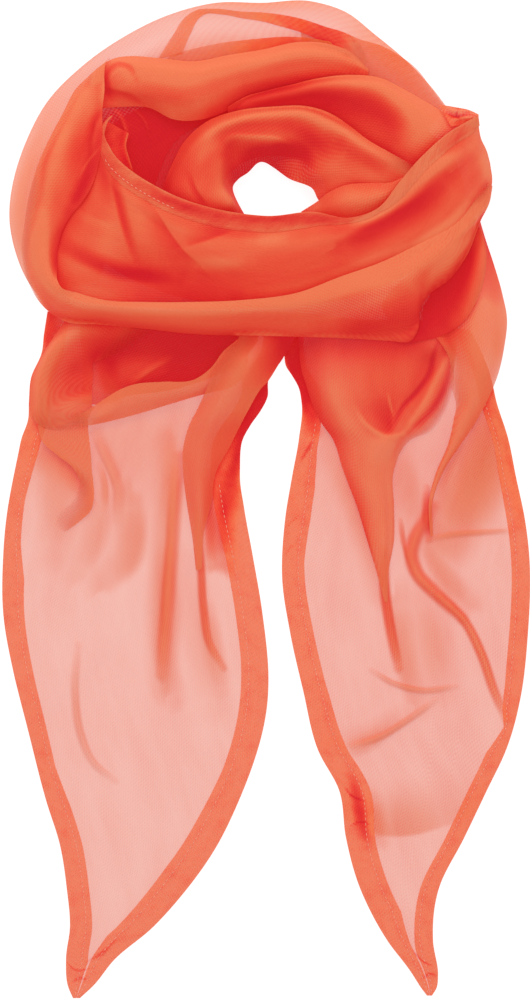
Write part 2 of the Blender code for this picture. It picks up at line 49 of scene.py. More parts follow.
PLAN_MIDDLE = 265.5             # plan x and y of the origin
PLAN_FOOT = 499.5
MILLI = 0.001
TAIL_HEIGHT = 1.2               # of single cloth above the floor, in millimetres
EXTRA = 1e-5                    # scale of layers and depth beside metres, so that they bend no curve
CLOTH_GAP = 0.0004              # between two sheets that lie on each other
SPACING = 0.0012                # between the points of a sheet
LEAST_STEPS = (8, 4)            # along and across a small sheet
FINE = 3                        # how much finer a section is worked out than it is kept
LEAST_KNOT = 1e-6               # keeps a division from failing where points meet
TINY = 1e-12

# Rounded ring of the hidden turns: middle x and y and half sizes of its two outlines, and its
# section as the share of the way out and the height in millimetres.
RING_STEPS = 48
RING_INNER = (274, 190, 51, 34)
RING_OUTER = (265, 196, 200, 112)
RING_SECTION = ((0, 1.5), (0.03, 4), (0.14, 9), (0.4, 11), (0.7, 10.5), (0.92, 7), (0.99, 3), (1, 1.5))

# Hems and their stitches.
HEM_SHARE = 0.48                # of the sheet's width that a hem may take
HEM_COLUMNS = 13                # points across a hem
HEM_UP = 0.0007                 # its height over the sheet
HEM_LEAST = 0.4                 # share of that height at its two edges
HEM_SLOPE = 8                   # it rises within an eighth of its width
HEM_LAYERS = 0.85               # layers of cloth that the turning adds
HEM_SEAM = (0.10, 0.7, 0.1)     # deeper tone along the seam: depth, place across, width
HEM_FOLD_HIGHLIGHT = (0.30, 0.0, 0.08)    # painted highlight along the folded edge
STITCH_PITCH = 0.0034
STITCH_START = 0.3              # share of the pitch before each stitch
STITCH_LENGTH = 0.0021
STITCH_WIDTH = 0.0005
STITCH_LIFT = 0.0009            # above the sheet, so that it lies on the hem
STITCH_ENDS = (0.35, 1.0, 0.35)     # share of the width at its ends and middle
STITCH_RISE = 0.6               # half its height as a share of its width
TAIL_INSET = 0.72               # place of the seam as a share of the hem
FRONT_INSET = 0.68
FRONT_STITCHED = (0.10, 0.28)   # stretch of the front hem where stitches show

# Creases and soft shadows: points along a line, and how they fade out at its ends.
LINE_POINTS = 24
CREASE_END = 0.04
SHADE_END = 0.08
END_EASE = 0.6

# Painted light: what a full share of painted shadow or of painted warm light does.
SHADE_LAYERS = 2.0              # shaded cloth shows more of its colour
SHADE_DARK = 0.10               # and returns less light
PAINTED_WARM_LIGHT = np.array((0.10, -0.20, -1.0))       # painted light through a rolled rim: orange
TAIL_HEM_LIGHT = np.array((1.10, 1.05, 1.0))    # painted glow: the hems of the tails are lit brighter
FRONT_HEM_LIGHT = np.array((0.86, 0.95, 1.0))   # painted shade: the front's hem is darker
OUTER_EDGE = 0.15               # layers that the outer turn's rolled rim adds
EDGE_REACH = 0.0018             # and how far in

# Height map of the cloth: its cells and half its sizes, how far a raised place spreads and how
# softly it ends, and the directions and distances in which each point looks for the sky.
CELL = 0.001
HEAP_HALF = (0.19, 0.35)
LIFT_SPREAD = 2
LIFT_BLUR = 6
LEVEL_ROUNDS = 3
SKY_TURNS = 12
SKY_REACHES = (0.003, 0.006, 0.010, 0.015, 0.021, 0.028, 0.036)

# Depth of tone, painted shade and highlight: cloth deep among the folds, where little sky reaches it,
# is painted a deeper red, and a crest is painted light.
HOLLOW_SHADE_GAIN = 0.75
HOLLOW_SHADE_START = 0.15
SHEER_START = 1.2               # cloth this thin gets no painted shade, since light comes through it
SHEER_RANGE = 2.0
CREST_RADIUS = 0.006
CREST_RISE = 0.006
CREST_HIGHLIGHT_GAIN = 0.20
TILT_LEAST = 0.25               # a tilted sheet is thicker to light, up to a limit
TILT_MOST = 3.0
TILT_GAIN = 0.5

# ---------------------------------------------------------------- tables
# A tail, one row a section: x and y of its left edge, x and y of its right edge.
LEFT_TAIL = (
    (47.5, 311.5, 286, 311.5), (44, 334, 285, 354), (41, 355, 269, 378), (31, 378, 267.5, 397),
    (29, 400, 260.5, 411), (28, 420, 250, 426), (22, 437, 242, 442), (18, 455, 240, 470),
    (7.5, 510, 244, 507), (3, 560, 253, 557), (3, 610, 262, 610), (13, 670, 268.5, 678), (28, 730, 264, 725),
    (46, 800, 240, 798), (60, 845, 215, 849), (67, 890, 182, 895), (70, 925, 152, 928), (66, 960, 114, 960),
    (68, 986, 93, 986), (73, 998, 80, 998),
)
RIGHT_TAIL = (
    (286, 311.5, 470, 330), (284.3, 356, 484, 358), (286, 366, 488, 368), (292.3, 376, 491, 378),
    (298.2, 386.5, 493, 386), (301.5, 402, 496, 400), (299, 438, 508, 438), (292, 477, 516, 477),
    (285, 520, 525, 520), (282, 575, 530, 570), (290, 632, 528, 632), (303, 690, 521, 695),
    (318, 750, 506, 750), (339, 790, 487, 790), (346, 838, 464, 838), (360, 888, 439, 888),
    (387, 940, 433, 940), (411, 972, 438, 975), (422, 989, 436, 989), (427, 995.5, 432, 995.5),
)
# Every other stretch, one row a section and one point a rail: x, y, height, and where they
# differ from the rest of the sheet, how many layers of cloth lie there and how deep its tone is:
# the deeper colour of stacked layers together with painted shade, and a painted highlight where below
# nought.
LEFT_POCKET = (
    ((80, 316, 4, 4, 0.4), (80, 334, 4, 4, 0.5), (82, 350, 3, 4, 0.6), (83, 364, 3, 2.6, 0.5),
     (82, 404, 3, 1.3, 0.3)),
    ((98, 316, 4, 5, 0.5), (98, 334, 4, 5, 0.5), (98, 350, 3, 4, 0.6), (101, 366, 3, 3, 0.6),
     (102, 404, 3, 1.6, 0.3)),
    ((108, 316, 5, 5, 0.5), (108, 334, 4, 5, 0.6), (109, 350, 3, 5, 0.9), (111, 367, 3, 4, 0.7),
     (116, 400, 3, 1, 0.2)),
    ((120, 316, 5, 5, 0.6), (120, 334, 4, 5, 0.7), (120, 350, 4, 5, 0.85), (122, 368, 5, 5, 0.55),
     (128, 396, 4, 2.5, 0.4)),
    ((138, 316, 6, 5, 0.6), (138, 334, 5, 5, 0.7), (139, 350, 5, 5, 0.75), (140, 368, 7, 5, 0.55),
     (142, 394, 5, 5, 0.6)),
    ((158, 316, 6, 5, 0.7), (158, 334, 5), (158, 350, 5, 5, 0.75), (158, 366, 6, 5, 0.6),
     (160, 392, 5, 5, 0.7)),
    ((180, 316, 6), (180, 334, 5, 5, 0.9), (180, 350, 4, 5, 0.85), (180, 366, 4, 5, 0.85), (180, 388, 5)),
    ((215, 316, 6), (214, 330, 5, 5, 0.9), (212, 346, 5, 5, 0.95), (210, 360, 5, 5, 0.9),
     (205, 380, 5, 5, 0.9)),
    ((262, 316, 6, 5, 0.7), (260, 328, 5), (258, 340, 5), (250, 352, 5), (240, 366, 5)),
)
LEFT_LOBE = (
    ((162, 318, 6, 0, 0.6), (156, 330, 6, 0, 0.8), (140, 342, 5, 0, 0.8), (122, 353, 4, 0, 0.8),
     (103, 360, 4, 0, 0.6)),
    ((128, 316, 7, 1.2, 0.5), (126, 331, 7, 1.2, 0.5), (116, 342, 6, 1.2, 0.7), (106, 353, 4, 1.2, 0.8),
     (98, 361, 4, 1.2, 0.6)),
    ((104, 314, 10, 4, 0.3), (106, 330, 11, 3.5, 0.3), (102, 342, 9, 3, 0.6), (98, 354, 5, 3, 0.7),
     (94, 363, 4, 3, 0.6)),
    ((74, 312, 12, 4, 0.2), (80, 330, 17, 3, 0.1), (84, 343, 12, 3, 0.35), (88, 358, 7, 4, 0.6),
     (93, 367, 4, 4, 0.6)),
    ((56, 334, 7, 2.5, 0.1), (62, 340, 19, 2.5), (71, 352, 13, 3, 0.25), (82, 363, 7, 4, 0.55),
     (93, 371, 4, 4, 0.55)),
    ((43, 354, 6, 2.2), (52, 353, 20, 2.2), (64, 363, 13, 3, 0.3), (78, 371, 6, 4, 0.55),
     (93, 376, 4, 4, 0.5)),
    ((31, 380, 5, 2.2), (43, 377, 19, 2.2), (58, 380, 11, 3, 0.25), (76, 382, 6, 4, 0.5),
     (92.5, 383, 4, 4, 0.45)),
    ((30, 402, 4), (42, 399, 17), (57, 397, 10, 3, 0.2), (75, 393, 6, 3.5, 0.4), (92, 390, 4, 4, 0.4)),
    ((33, 418, 4, 1.6), (44, 413, 12, 1.8), (58, 408, 9, 2.5, 0.1), (76, 401, 7, 3, 0.2),
     (92, 396, 5, 3, 0.25)),
    ((44, 428, 4, 0.6), (55, 424, 6, 1.4, 0.1), (66, 414, 7, 2.2, 0.1), (80, 407, 6, 2.5, 0.1),
     (92, 401, 5, 2.5, 0.15)),
    ((66, 431, 4, 0), (71, 424, 5, 0.8, 0.1), (78, 416, 6, 2, 0.1), (86, 410, 6, 2.2, 0.1),
     (92, 405, 5, 2.2, 0.1)),
    ((88, 427, 4, 0), (88, 421, 5, 0), (90, 416, 5, 0.8, 0.1), (92, 411, 5, 1.8, 0.1), (95, 408, 5, 2, 0.1)),
)
# The doubled flap below the lobe, and the fold that it ends in.
LEFT_FLAP = (
    ((38, 408, 4, 0), (62, 412, 5, 0), (88, 410, 5, 0)),
    ((38, 424, 4, 1.4, 0.05), (62, 428, 5, 1.8), (88, 424, 5, 2)),
    ((42, 441, 4), (64, 443, 5), (89, 437, 5)),
    ((57, 455, 4), (73, 455, 5), (91, 453, 5)),
    ((73, 468, 4, 1.8), (82, 469, 5, 2), (92, 470, 5)),
    ((80, 482, 3, 0.6), (87, 482, 4, 1.4), (93.5, 483, 4, 2.6)),
    ((76, 494, 2, 0), (86, 495, 3, 1.2), (94, 497, 4, 3, 0.2)),
    ((70, 503, 2, 0), (82, 505, 3, 1), (91, 510, 3, 2.4, 0.15)),
    ((62, 510, 2, 0), (73, 513, 2.5, 0.7, 0.05), (82, 519.5, 3, 1.9)),
    ((56, 518, 1.8, 0), (64, 521, 2, 0.4), (71, 528, 2.5, 1)),
    ((54, 525, 1.6, 0), (58, 528, 1.6, 0), (63, 533, 2, 0)),
)
LEFT_LIP = (
    ((70, 415, 7, 0), (72, 422, 8, 0), (74, 429, 5, 0)),
    ((86, 411, 8, 1.2), (87, 419, 8, 1.2), (87, 426, 5, 1.2)),
    ((100, 402, 8), (99, 414, 9), (98, 424, 5)),
    ((124, 388, 11), (124, 402, 10), (123, 418, 5)),
    ((137, 384, 12), (138, 398, 11), (138, 414, 5)),
    ((162, 382, 13), (162, 394, 11), (161, 407, 5)),
    ((196, 379, 13), (198, 388, 11), (198, 396, 6)),
    ((211, 368, 13), (216, 380, 11), (214, 392, 6)),
    ((224, 351, 13), (232, 366, 12), (230, 388, 6)),
    ((240, 338, 12), (248, 354, 12), (246, 376, 6)),
)
LEFT_FOLD = (
    ((240, 316, 8, 2, 0.6), (264, 316, 13, 3, 0.6), (304, 316, 6, 5, 0.6)),
    ((238, 340, 10, 0.8, 0.3), (258, 342, 16, 2.4, 0.3), (292, 344, 6, 5, 0.9)),
    ((226, 352, 12, 0.2), (244, 360, 19), (279, 364, 6, 5, 0.6)),
    ((214, 368, 12, 0.2), (238, 370, 19), (269, 380, 6, 4, 0.3)),
    ((207, 388, 8, 1.2), (228, 388, 17), (260, 390, 6)),
    ((198, 408, 6), (218, 408, 14), (249.5, 408, 5)),
    ((189, 426, 5), (208, 428, 11, 2, 0.2), (239, 428, 4, 2, 0.3)),
    ((183, 449, 4), (200, 451, 9, 2.2, 0.2), (228.5, 449, 4, 2.4, 0.35)),
    ((183, 470, 4), (198, 472, 8, 2.3, 0.25), (216, 472, 4, 2.4, 0.35)),
    ((186, 498, 3), (198, 500, 7, 2.3, 0.25), (212, 500, 3, 2.4, 0.35)),
    ((192, 535, 3), (198, 535, 5), (204, 533, 3)),
    ((196, 570, 2), (199, 570, 3), (202, 568, 2)),
)
RIGHT_SCOOP = (
    ((298, 320, 5, 3, 0.8), (325, 320, 10, 3, 0.8), (350, 320, 11, 3, 0.8), (380, 320, 11, 4, 0.8),
     (405, 320, 12, 4, 0.8), (426, 320, 12, 3, 0.5), (444, 318, 9, 3, 0.4), (456, 316, 6, 2, 0.2)),
    ((299, 345, 5, 3, 0.7), (326, 345, 12, 3, 0.65), (350, 345, 12, 3, 0.72), (382, 345, 11, 4, 0.72),
     (410, 345, 12, 4, 0.72), (434, 345, 14, 3, 0.5), (447, 345, 9, 3, 0.4), (457, 343, 6, 2, 0.2)),
    ((301, 368, 5, 3, 0.6), (328, 368, 14, 2.5, 0.35), (352, 368, 13, 3, 0.4), (380, 370, 10, 4, 0.45),
     (410, 366, 9, 4, 0.45), (430, 363, 7, 4, 0.5), (443, 366, 8, 3, 0.3), (454, 366, 5, 1, 0.2)),
    ((307, 388, 5, 3, 0.6), (332, 390, 15, 2.5, 0.2), (358, 392, 13, 3, 0.35), (384, 394, 8, 4, 0.45),
     (404, 390, 7, 4, 0.45), (420, 384, 6, 4, 0.5), (437, 388, 7, 3, 0.35), (453, 390, 4, 0, 0.3)),
    ((313, 406, 4, 3.4, 0.55), (339, 410, 14, 2.5), (364, 412, 11, 3, 0.35), (387, 414, 5, 4, 0.55),
     (396, 410, 6, 4, 0.5), (404, 404, 6, 4, 0.5), (427, 409, 6, 3, 0.35), (445, 412, 3, 0, 0.3)),
    ((322, 424, 4, 3.6, 0.55), (347, 426, 12, 2.5, 0.1), (370, 426, 10, 3, 0.3), (388, 428, 6, 4, 0.5),
     (393, 425, 7, 4, 0.5), (398, 423, 7, 3.5, 0.45), (414, 427, 5, 2.6, 0.25), (432, 431, 3, 0, 0.2)),
    ((332, 438, 4, 3.4, 0.5), (352, 440, 9, 2.5), (370, 441, 9, 2.5, 0.1), (384, 441, 9, 2.5, 0.05),
     (391, 441, 8, 2.4, 0.05), (395, 440, 7, 2.2, 0.05), (402, 439, 5, 2, 0.2), (411, 440, 3, 0.4)),
    ((343, 470, 3, 2.2, 0.35), (352, 471, 6, 2.6, 0.3), (362, 472, 7, 2.5), (372, 472, 7, 2.5, 0.1),
     (381, 472, 6, 2.4, 0.1), (386, 471, 5, 2.2, 0.05), (390, 471, 4, 2.2, 0.05), (394, 470, 3)),
    ((357, 507, 3, 3, 0.45), (364, 507, 5, 2.6, 0.3), (371, 508, 6, 2.5, 0.2), (377, 508, 6, 2.5),
     (383, 508, 5, 2.4, 0.1), (387, 507, 4, 2.2, 0.1), (391, 507, 4, 2.2, 0.1), (394, 507, 3)),
    ((367, 540, 3, 3, 0.45), (371, 540, 5, 2.6, 0.3), (376, 541, 5, 2.5, 0.2), (380, 541, 5, 2.5),
     (384, 541, 5, 2.4, 0.1), (388, 540, 4, 2.2, 0.1), (391, 540, 4, 2.2, 0.1), (394, 540, 3)),
    ((376.5, 572, 2.5), (378, 572, 3), (379, 572, 4), (381, 572, 4), (383, 572, 4), (385, 572, 3),
     (387, 572, 3), (388.5, 572, 2.5)),
    ((384.5, 602, 2.5), (385, 602, 3), (385.4, 602, 3), (385.8, 602, 3), (386.2, 602, 3), (386.6, 602, 3),
     (387, 602, 3), (387.4, 602, 2.5)),
)
RIGHT_SIDE = (
    ((462, 216, 8), (470, 218, 10), (476, 219, 9, 3), (480, 221, 4, 3)),
    ((455, 234, 8, 4, 0.4), (470, 236, 11, 4, 0.4), (480, 239, 12, 3, 0.4), (486, 241, 4, 3, 0.3)),
    ((448, 258, 8, 4, 0.7), (466, 260, 12, 4, 0.6), (482, 260, 15, 3, 0.4), (493, 262, 4, 3, 0.15)),
    ((432, 290, 9, 4, 0.7), (460, 292, 13, 4, 0.7), (482, 292, 18, 3, 0.35), (502.5, 295, 4)),
    ((422, 318, 9, 4, 0.7), (454, 322, 14, 4, 0.55), (486, 322, 19, 3, -0.1), (507, 322, 4, 1.9, -0.2)),
    ((436, 338, 9, 3, 0.5), (462, 344, 14, 3, 0.2), (488, 346, 18, 3, -0.1), (504, 348, 4, 1.6, -0.2)),
    ((449, 359, 6, 0.8), (466, 367, 12), (484, 370, 15), (499, 371, 4, 1.3)),
    ((450, 384, 4, 0.2), (464, 388, 10, 2), (478, 390, 12), (492, 390, 4, 1.4)),
    ((456, 404, 4, 0.8), (464, 405, 8), (473, 406, 10), (485, 405, 4)),
    ((453.5, 420, 5), (460, 421, 8), (467, 421, 8), (477, 420, 3)),
    ((447, 447, 4), (450, 448, 7), (454, 448, 7), (459, 447, 3)),
    ((437, 470, 3), (439, 471, 5), (441, 471, 5), (444, 470, 3)),
    ((429, 500, 2.5), (430, 501, 4), (432, 501, 4), (433, 500, 2.5)),
    ((430, 536, 2.5), (431, 536, 3), (432, 536, 3), (433, 536, 2.5)),
)
OUTER_TURN = (
    ((49, 311, 5), (56, 300, 15, 2.4), (66, 290, 13, 4), (100, 280, 11, 5, 0.6)),
    ((25, 276, 6, 0.9), (42, 272, 22, 1.7), (72, 262, 14, 5), (110, 250, 11, 5, 0.8)),
    ((11, 232, 7), (32, 231, 24, 1.9), (84, 230, 15, 5), (130, 225, 11, 5, 0.9)),
    ((11, 195, 7, 0.9), (34, 195, 25, 1.9), (100, 198, 16, 5), (150, 198, 11, 5, 1)),
    ((25, 145, 7, 0.9), (50, 150, 23, 1.8), (112, 162, 16, 5, 0.7), (160, 172, 11, 5, 1)),
    ((49, 100, 6, 1.1), (76, 110, 19, 1.4), (118, 134, 16, 5, 0.6), (170, 150, 11, 5, 1)),
    ((84, 65, 5, 1.1), (104, 80, 15, 1.1), (132, 108, 15, 4, 0.75), (185, 134, 11, 5, 0.95)),
    ((124, 37, 4, 1.1), (140, 56, 11), (160, 98, 14, 4), (205, 124, 11, 5, 0.95)),
    ((169, 15, 3, 1.1), (178, 40, 9), (195, 92, 14, 4), (225, 116, 11, 5, 1)),
    ((216, 3, 3, 1.3), (218, 30, 8), (228, 88, 14, 4), (245, 108, 11, 5, 1)),
    ((262, 3, 3, 1.4), (262, 30, 8), (262, 82, 14, 4), (262, 104, 11, 5, 1)),
    ((311, 1.5, 4, 1.35), (306, 28, 11), (300, 76, 14, 4), (290, 104, 11, 5, 1)),
    ((345, 12, 5, 1.2), (334, 34, 15), (322, 76, 14, 4), (310, 110, 11, 5, 1)),
    ((375, 35, 6, 1.3), (360, 52, 18, 1.2), (345, 84, 14, 4), (330, 118, 11, 5, 1)),
    ((405, 60, 6, 1.1), (388, 74, 19, 1.3), (368, 98, 14, 4), (350, 128, 11, 5, 1)),
    ((430, 86, 6), (412, 98, 19, 1.4), (392, 116, 14, 4), (372, 146, 11, 5, 1)),
    ((447, 108, 5), (436, 120, 17, 1.6), (420, 134, 14, 4), (395, 168, 11, 5, 1)),
)
# A second layer of the outer turn across the top right.
OUTER_SECOND = (
    ((298, 20, 6), (300, 30, 10), (302, 42, 14)),
    ((322, 27, 6), (324, 38, 12), (326, 52, 14)),
    ((345, 34, 7), (345, 48, 14), (345, 66, 14)),
    ((362, 41, 8), (361, 58, 18), (356, 86, 14)),
    ((380, 46, 8), (374, 68, 18), (362, 98, 14)),
    ((399, 56, 7), (388, 78, 19), (372, 108, 14)),
    ((418, 71, 6, 0.8), (404, 92, 19), (388, 122, 14)),
    ((432, 90, 6, 0.6), (418, 106, 19), (404, 134, 14)),
    ((444, 107, 6, 0.5), (436, 120, 17), (420, 146, 14)),
)
# The hem's loose end in the hollow.
HEM_TIP = (
    ((107, 122, 20), (116, 127, 19), (127, 133, 16), (129, 134, 18, 4, -0.3)),
    ((102, 140, 22), (113, 143, 21), (124, 146, 18), (126.5, 147, 20, 4, -0.3)),
    ((106, 156, 24), (117, 158, 23), (127, 160, 20), (130, 160, 22, 4, -0.3)),
    ((121, 174, 26), (126, 174, 25), (131, 174, 22), (134, 174, 24, 4, -0.2)),
)
# The hem that shows through the outer turn at the back. Its points have no height, since it
# lies on the cloth below.
BACK_HEM = (
    ((158, 60), (182, 55)),
    ((173, 36), (191, 34)),
    ((186, 17), (200, 18)),
    ((195, 11), (206, 14.5)),
    ((213, 9), (222, 15)),
    ((243, 12, 0, 1.2), (243, 19, 0, 1.2)),
    ((264, 13, 0, 1.6), (262, 22, 0, 1.6)),
    ((286, 16, 0, 2.4, 0.2), (280, 27, 0, 2, 0.2)),
    ((306, 21, 0, 3.5, 0.4), (303, 34, 0, 3, 0.4)),
    ((326, 28, 0, 3.5, 0.5), (320, 42, 0, 3, 0.5)),
    ((345, 34, 0, 3, 0.4), (334, 49, 0, 3, 0.4)),
    ((358, 43), (351, 54)),
    ((368, 62), (362, 68)),
)
# The other edge of the same band, just above the upper roll.
BACK_HEM_LOW = (
    ((172, 56), (160, 64)),
    ((184, 52, 0, 0.7), (182, 66, 0, 0.6)),
    ((202, 47.5, 0, 0.7), (205, 66, 0, 0.5)),
    ((222, 43.5, 0, 0.9), (232, 60, 0, 0.8)),
    ((262, 39, 0, 1.8, 0.2), (266, 56, 0, 1.8, 0.2)),
    ((288, 37.5, 0, 2, 0.3), (300, 50, 0, 2, 0.3)),
    ((312, 39.5), (326, 52)),
    ((330, 43), (345, 58)),
)
UPPER_ROLL = (
    ((96, 70, 14, 1.6), (96, 78, 18, 2), (96, 90, 19, 3), (96, 110, 15)),
    ((112, 60, 14, 4, -0.4), (114, 68, 25), (116, 86, 26), (118, 108, 17)),
    ((130, 57, 15, 4, -0.5), (134, 68, 28), (140, 90, 28), (146, 108, 18)),
    ((160, 59, 15, 4, -0.5), (164, 71, 29), (168, 94, 29), (173, 120, 18)),
    ((195, 62, 15, 4, -0.5), (196, 74, 29), (197, 97, 29), (198, 121, 18)),
    ((228, 56, 15, 4, -0.5), (227, 68, 28), (226, 89, 27), (224, 113, 17)),
    ((262, 50.5, 15, 3.5, -0.5), (261, 62, 27), (259, 79, 25), (256, 96, 17)),
    ((298, 43, 15, 2.5, -0.5), (297, 54, 26), (294, 70, 24), (290, 88, 17)),
    ((328, 45, 15, 1.5, -0.5), (327, 55, 25), (325, 68, 23), (322, 84, 17)),
    ((350, 53, 15, 1, -0.5), (349, 62, 23), (348, 72, 21), (346, 83, 17)),
    ((368, 70, 15, 1, -0.3), (368, 74, 19), (368, 79, 18), (368, 86, 17)),
)
RIGHT_ROLL = (
    ((228, 108, 15), (228, 111, 16), (228, 115, 16), (228, 120, 15)),
    ((245, 98, 16, 4, 0.2), (245, 103, 20), (244, 110, 19), (244, 118, 16)),
    ((265, 92, 16, 4, 0.1), (265, 98, 23), (264, 107, 20), (264, 117, 17)),
    ((290, 86, 17, 4, -0.1), (289, 93, 26), (288, 104, 22), (287, 117, 17)),
    ((320, 79, 18, 4, -0.4), (319, 86, 29), (318, 100, 24), (315, 119, 17)),
    ((350, 76, 19, 4, -0.5), (348, 84, 31), (343, 105, 25), (336, 128, 17)),
    ((380, 79, 20, 4, -0.5), (377, 88, 32), (367, 115, 25), (355, 142, 18)),
    ((403, 90, 20, 4, -0.5), (398, 100, 32), (388, 126, 27), (375, 156, 19)),
    ((426, 103, 19, 4, -0.5), (419, 114, 32), (407, 140, 30), (394, 170, 21)),
    ((446, 114, 17, 4, -0.5), (437, 127, 30), (421, 153, 29), (407, 184, 20)),
    ((460, 118, 14, 4, -0.4), (452, 134, 27), (437, 162, 26), (420, 192, 18)),
    ((474, 118, 10), (468, 132, 22), (455, 160, 22), (440, 190, 16)),
)
INNER_RING = (
    ((158, 200, 16), (170, 203, 23), (195, 210, 24), (215, 214, 22), (236, 219, 14, 5, 0.1), (250, 222, 8)),
    ((163, 188, 16), (174, 190, 24), (198, 196, 26), (228, 205, 23), (237, 209, 15, 5, 0.05),
     (243, 212, 8, 5, 0.1)),
    ((171, 168, 16), (182, 171, 24), (202, 178, 26), (220, 184, 24), (227, 187, 16, 5, 0.1), (233, 190, 8)),
    ((184, 143, 16), (194, 148, 26), (209, 156, 27), (221, 165, 25), (230, 172, 16, 5, 0.5),
     (238, 180, 8, 5, 0.8)),
    ((206, 123, 17, 5, -0.1), (213, 130, 29), (220, 138, 28), (226, 146, 25), (238, 160, 16, 5, 0.5),
     (248, 173, 8, 5, 0.9)),
    ((236, 112, 18, 5, -0.3), (240, 119, 31), (243, 129, 29), (246, 141, 26), (252, 152, 16, 5, 0.6),
     (257, 164, 8, 5, 0.9)),
    ((275, 107.5, 18, 5, -0.4), (274, 114, 31), (273, 127, 29), (272, 141, 26), (268, 152, 16, 5, 0.6),
     (265, 163, 8, 5, 0.9)),
    ((308, 107.5, 18, 5, -0.4), (304, 114, 31), (300, 127, 28), (294, 142, 24), (284, 156, 15, 5, 0.5),
     (275, 169, 8, 5, 0.8)),
    ((335, 117, 19, 5, -0.2), (329, 124, 30), (320, 137, 26), (311, 150, 21), (299, 165, 15, 5, 0.2),
     (289, 179, 8, 5, 0.4)),
    ((352, 129, 24, 5, 0), (345, 134, 30), (332, 146, 25), (319, 158, 21), (307, 170, 16),
     (296, 182, 9, 5, 0.2)),
    ((366, 140, 26, 4, 0), (358, 145, 30, 4, 0), (342, 155, 25), (328, 165, 22), (316, 175, 18),
     (305, 185, 10)),
    ((390, 154, 27, 1.5, 0.1), (380, 159, 30, 3, 0), (362, 167, 25), (345, 176, 22), (328, 183, 18),
     (313, 190, 11)),
    ((412, 166, 26, 0, 0.1), (400, 170, 28, 1.5, 0), (380, 178, 25, 5, 0), (358, 187, 21), (336, 194, 18),
     (318, 200, 12)),
    ((430, 178, 26, 0, 0.1), (420, 182, 27, 1, 0), (404, 190, 24, 5, -0.2), (380, 197, 21, 5, -0.1),
     (352, 204, 17), (328, 210, 12)),
)
INNER_PETAL = (
    ((301, 212, 8, 4, -0.1), (305, 215, 10, 4, -0.1), (310, 220, 12, 4, -0.1)),
    ((317, 202, 12, 4, -0.1), (318, 209, 16, 4, -0.1), (319, 218, 16, 4, -0.1)),
    ((327, 194, 18), (330, 206, 22), (333, 222, 20)),
    ((345, 186, 22), (348, 200, 27), (350, 222, 22)),
    ((368, 184, 24), (370, 198, 29), (372, 218, 22, 4, -0.1)),
    ((392, 183, 25, 4, -0.1), (390, 193, 28, 4, -0.1), (388, 208, 22, 4, -0.3)),
    ((402, 178, 25, 4, -0.2), (400, 185, 26, 4, -0.3), (398, 196, 22, 4, -0.4)),
)
SWAG_POCKET = (
    ((380, 306, 14), (390, 322, 13), (400, 336, 13, 4, 0.8), (408, 343, 12, 4, 0.9)),
    ((394, 288, 13), (412, 310, 11), (426, 328, 13, 4, 0.95), (436, 338, 12, 4, 0.95)),
    ((410, 274, 12), (432, 296, 11), (448, 314, 13, 4, 0.8), (461, 324, 12, 3, 0.6)),
    ((430, 258, 12), (449, 279, 11), (462, 293, 13, 4, 0.7), (476, 302, 11, 1.5, 0.2)),
    ((448, 242, 11), (463, 260, 11), (473, 270, 13, 4, 0.6), (484, 279, 10, 1, 0.1)),
    ((460, 230, 11, 4, 0.5), (473, 242, 11, 4, 0.4), (480, 248, 12, 4, 0.3), (486, 252, 9, 1, 0.2)),
    ((468, 220, 10, 4, 0.3), (474, 225, 10, 4, 0.3), (478, 228, 10, 4, 0.3), (481, 229, 8, 2, 0.3)),
)
# The front stretch, from its hem down to the valley.
FRONT_PANEL = (
    ((113, 117, 25), (107, 121, 25), (101, 128, 25), (97, 138, 25), (93, 150, 25), (88, 165, 24)),
    ((107, 127, 27), (100, 133, 28), (97, 150, 28), (92, 176, 29), (78, 212, 29), (52, 252, 26)),
    ((105, 137, 28), (99, 144, 30), (99, 168, 31), (94, 200, 32), (80, 240, 31), (52, 284, 28)),
    ((110, 148, 29), (103, 158, 31), (108, 184, 32), (108, 218, 32), (98, 256, 30), (76, 300, 28)),
    ((118, 160, 29), (110, 174, 32), (122, 203, 33), (130, 236, 32), (130, 266, 26), (114, 306, 24)),
    ((133, 173, 30), (124, 191, 33), (142, 217, 34), (154, 244, 33), (158, 272, 27), (148, 308, 25)),
    ((150, 184, 31), (142, 204, 34), (160, 227, 34), (176, 250, 34), (184, 276, 28), (180, 310, 26)),
    ((180, 199, 31), (175, 219, 34), (190, 238, 35), (202, 257, 34), (212, 279, 29), (212, 310, 27)),
    ((220, 211, 29), (219, 230, 33), (226, 246, 35), (234, 262, 34), (241, 280, 30), (246, 308, 28)),
    ((265, 217, 27), (265, 234, 32), (267, 247, 34), (269, 261, 33), (272, 278, 31), (276, 304, 29)),
    ((312, 213, 28), (313, 230, 32), (315, 241, 34), (318, 253, 33), (322, 266, 31), (330, 292, 28)),
    ((350, 219, 31), (354, 226, 34), (357, 234, 35), (362, 242, 33), (368, 250, 32), (378, 274, 30)),
    ((378, 209, 33, 5, 0.1), (383, 215, 35, 5, 0.1), (389, 222, 34), (396, 230, 33), (405, 239, 32),
     (418, 256, 30)),
    ((400, 182, 34, 5, 0.05), (407, 189, 35, 5, 0.05), (416, 197, 35), (427, 207, 32), (440, 216, 30),
     (454, 236, 29)),
    ((422, 157, 34, 5, 0.1), (430, 166, 35, 5, 0.1), (440, 175, 34), (451, 185, 31), (464, 197, 29),
     (476, 215, 25)),
    ((448, 134, 31), (455, 145, 32), (462, 155, 31), (470, 166, 28), (479, 178, 24), (488, 199, 17)),
    ((466, 123, 26, 5, 0.2), (470, 135, 27, 5, 0.2), (474, 144, 25, 5, 0.1), (479, 154, 22, 5, 0.1),
     (485, 166, 17, 5, 0), (492, 181, 8, 5, -0.1)),
    ((477, 117, 20, 5, 0), (478, 125, 20, 5, -0.1), (479, 132, 17, 5, -0.1), (481, 140, 13, 5, -0.2),
     (486, 150, 9, 5, -0.2), (490, 163, 4, 5, -0.2)),
)
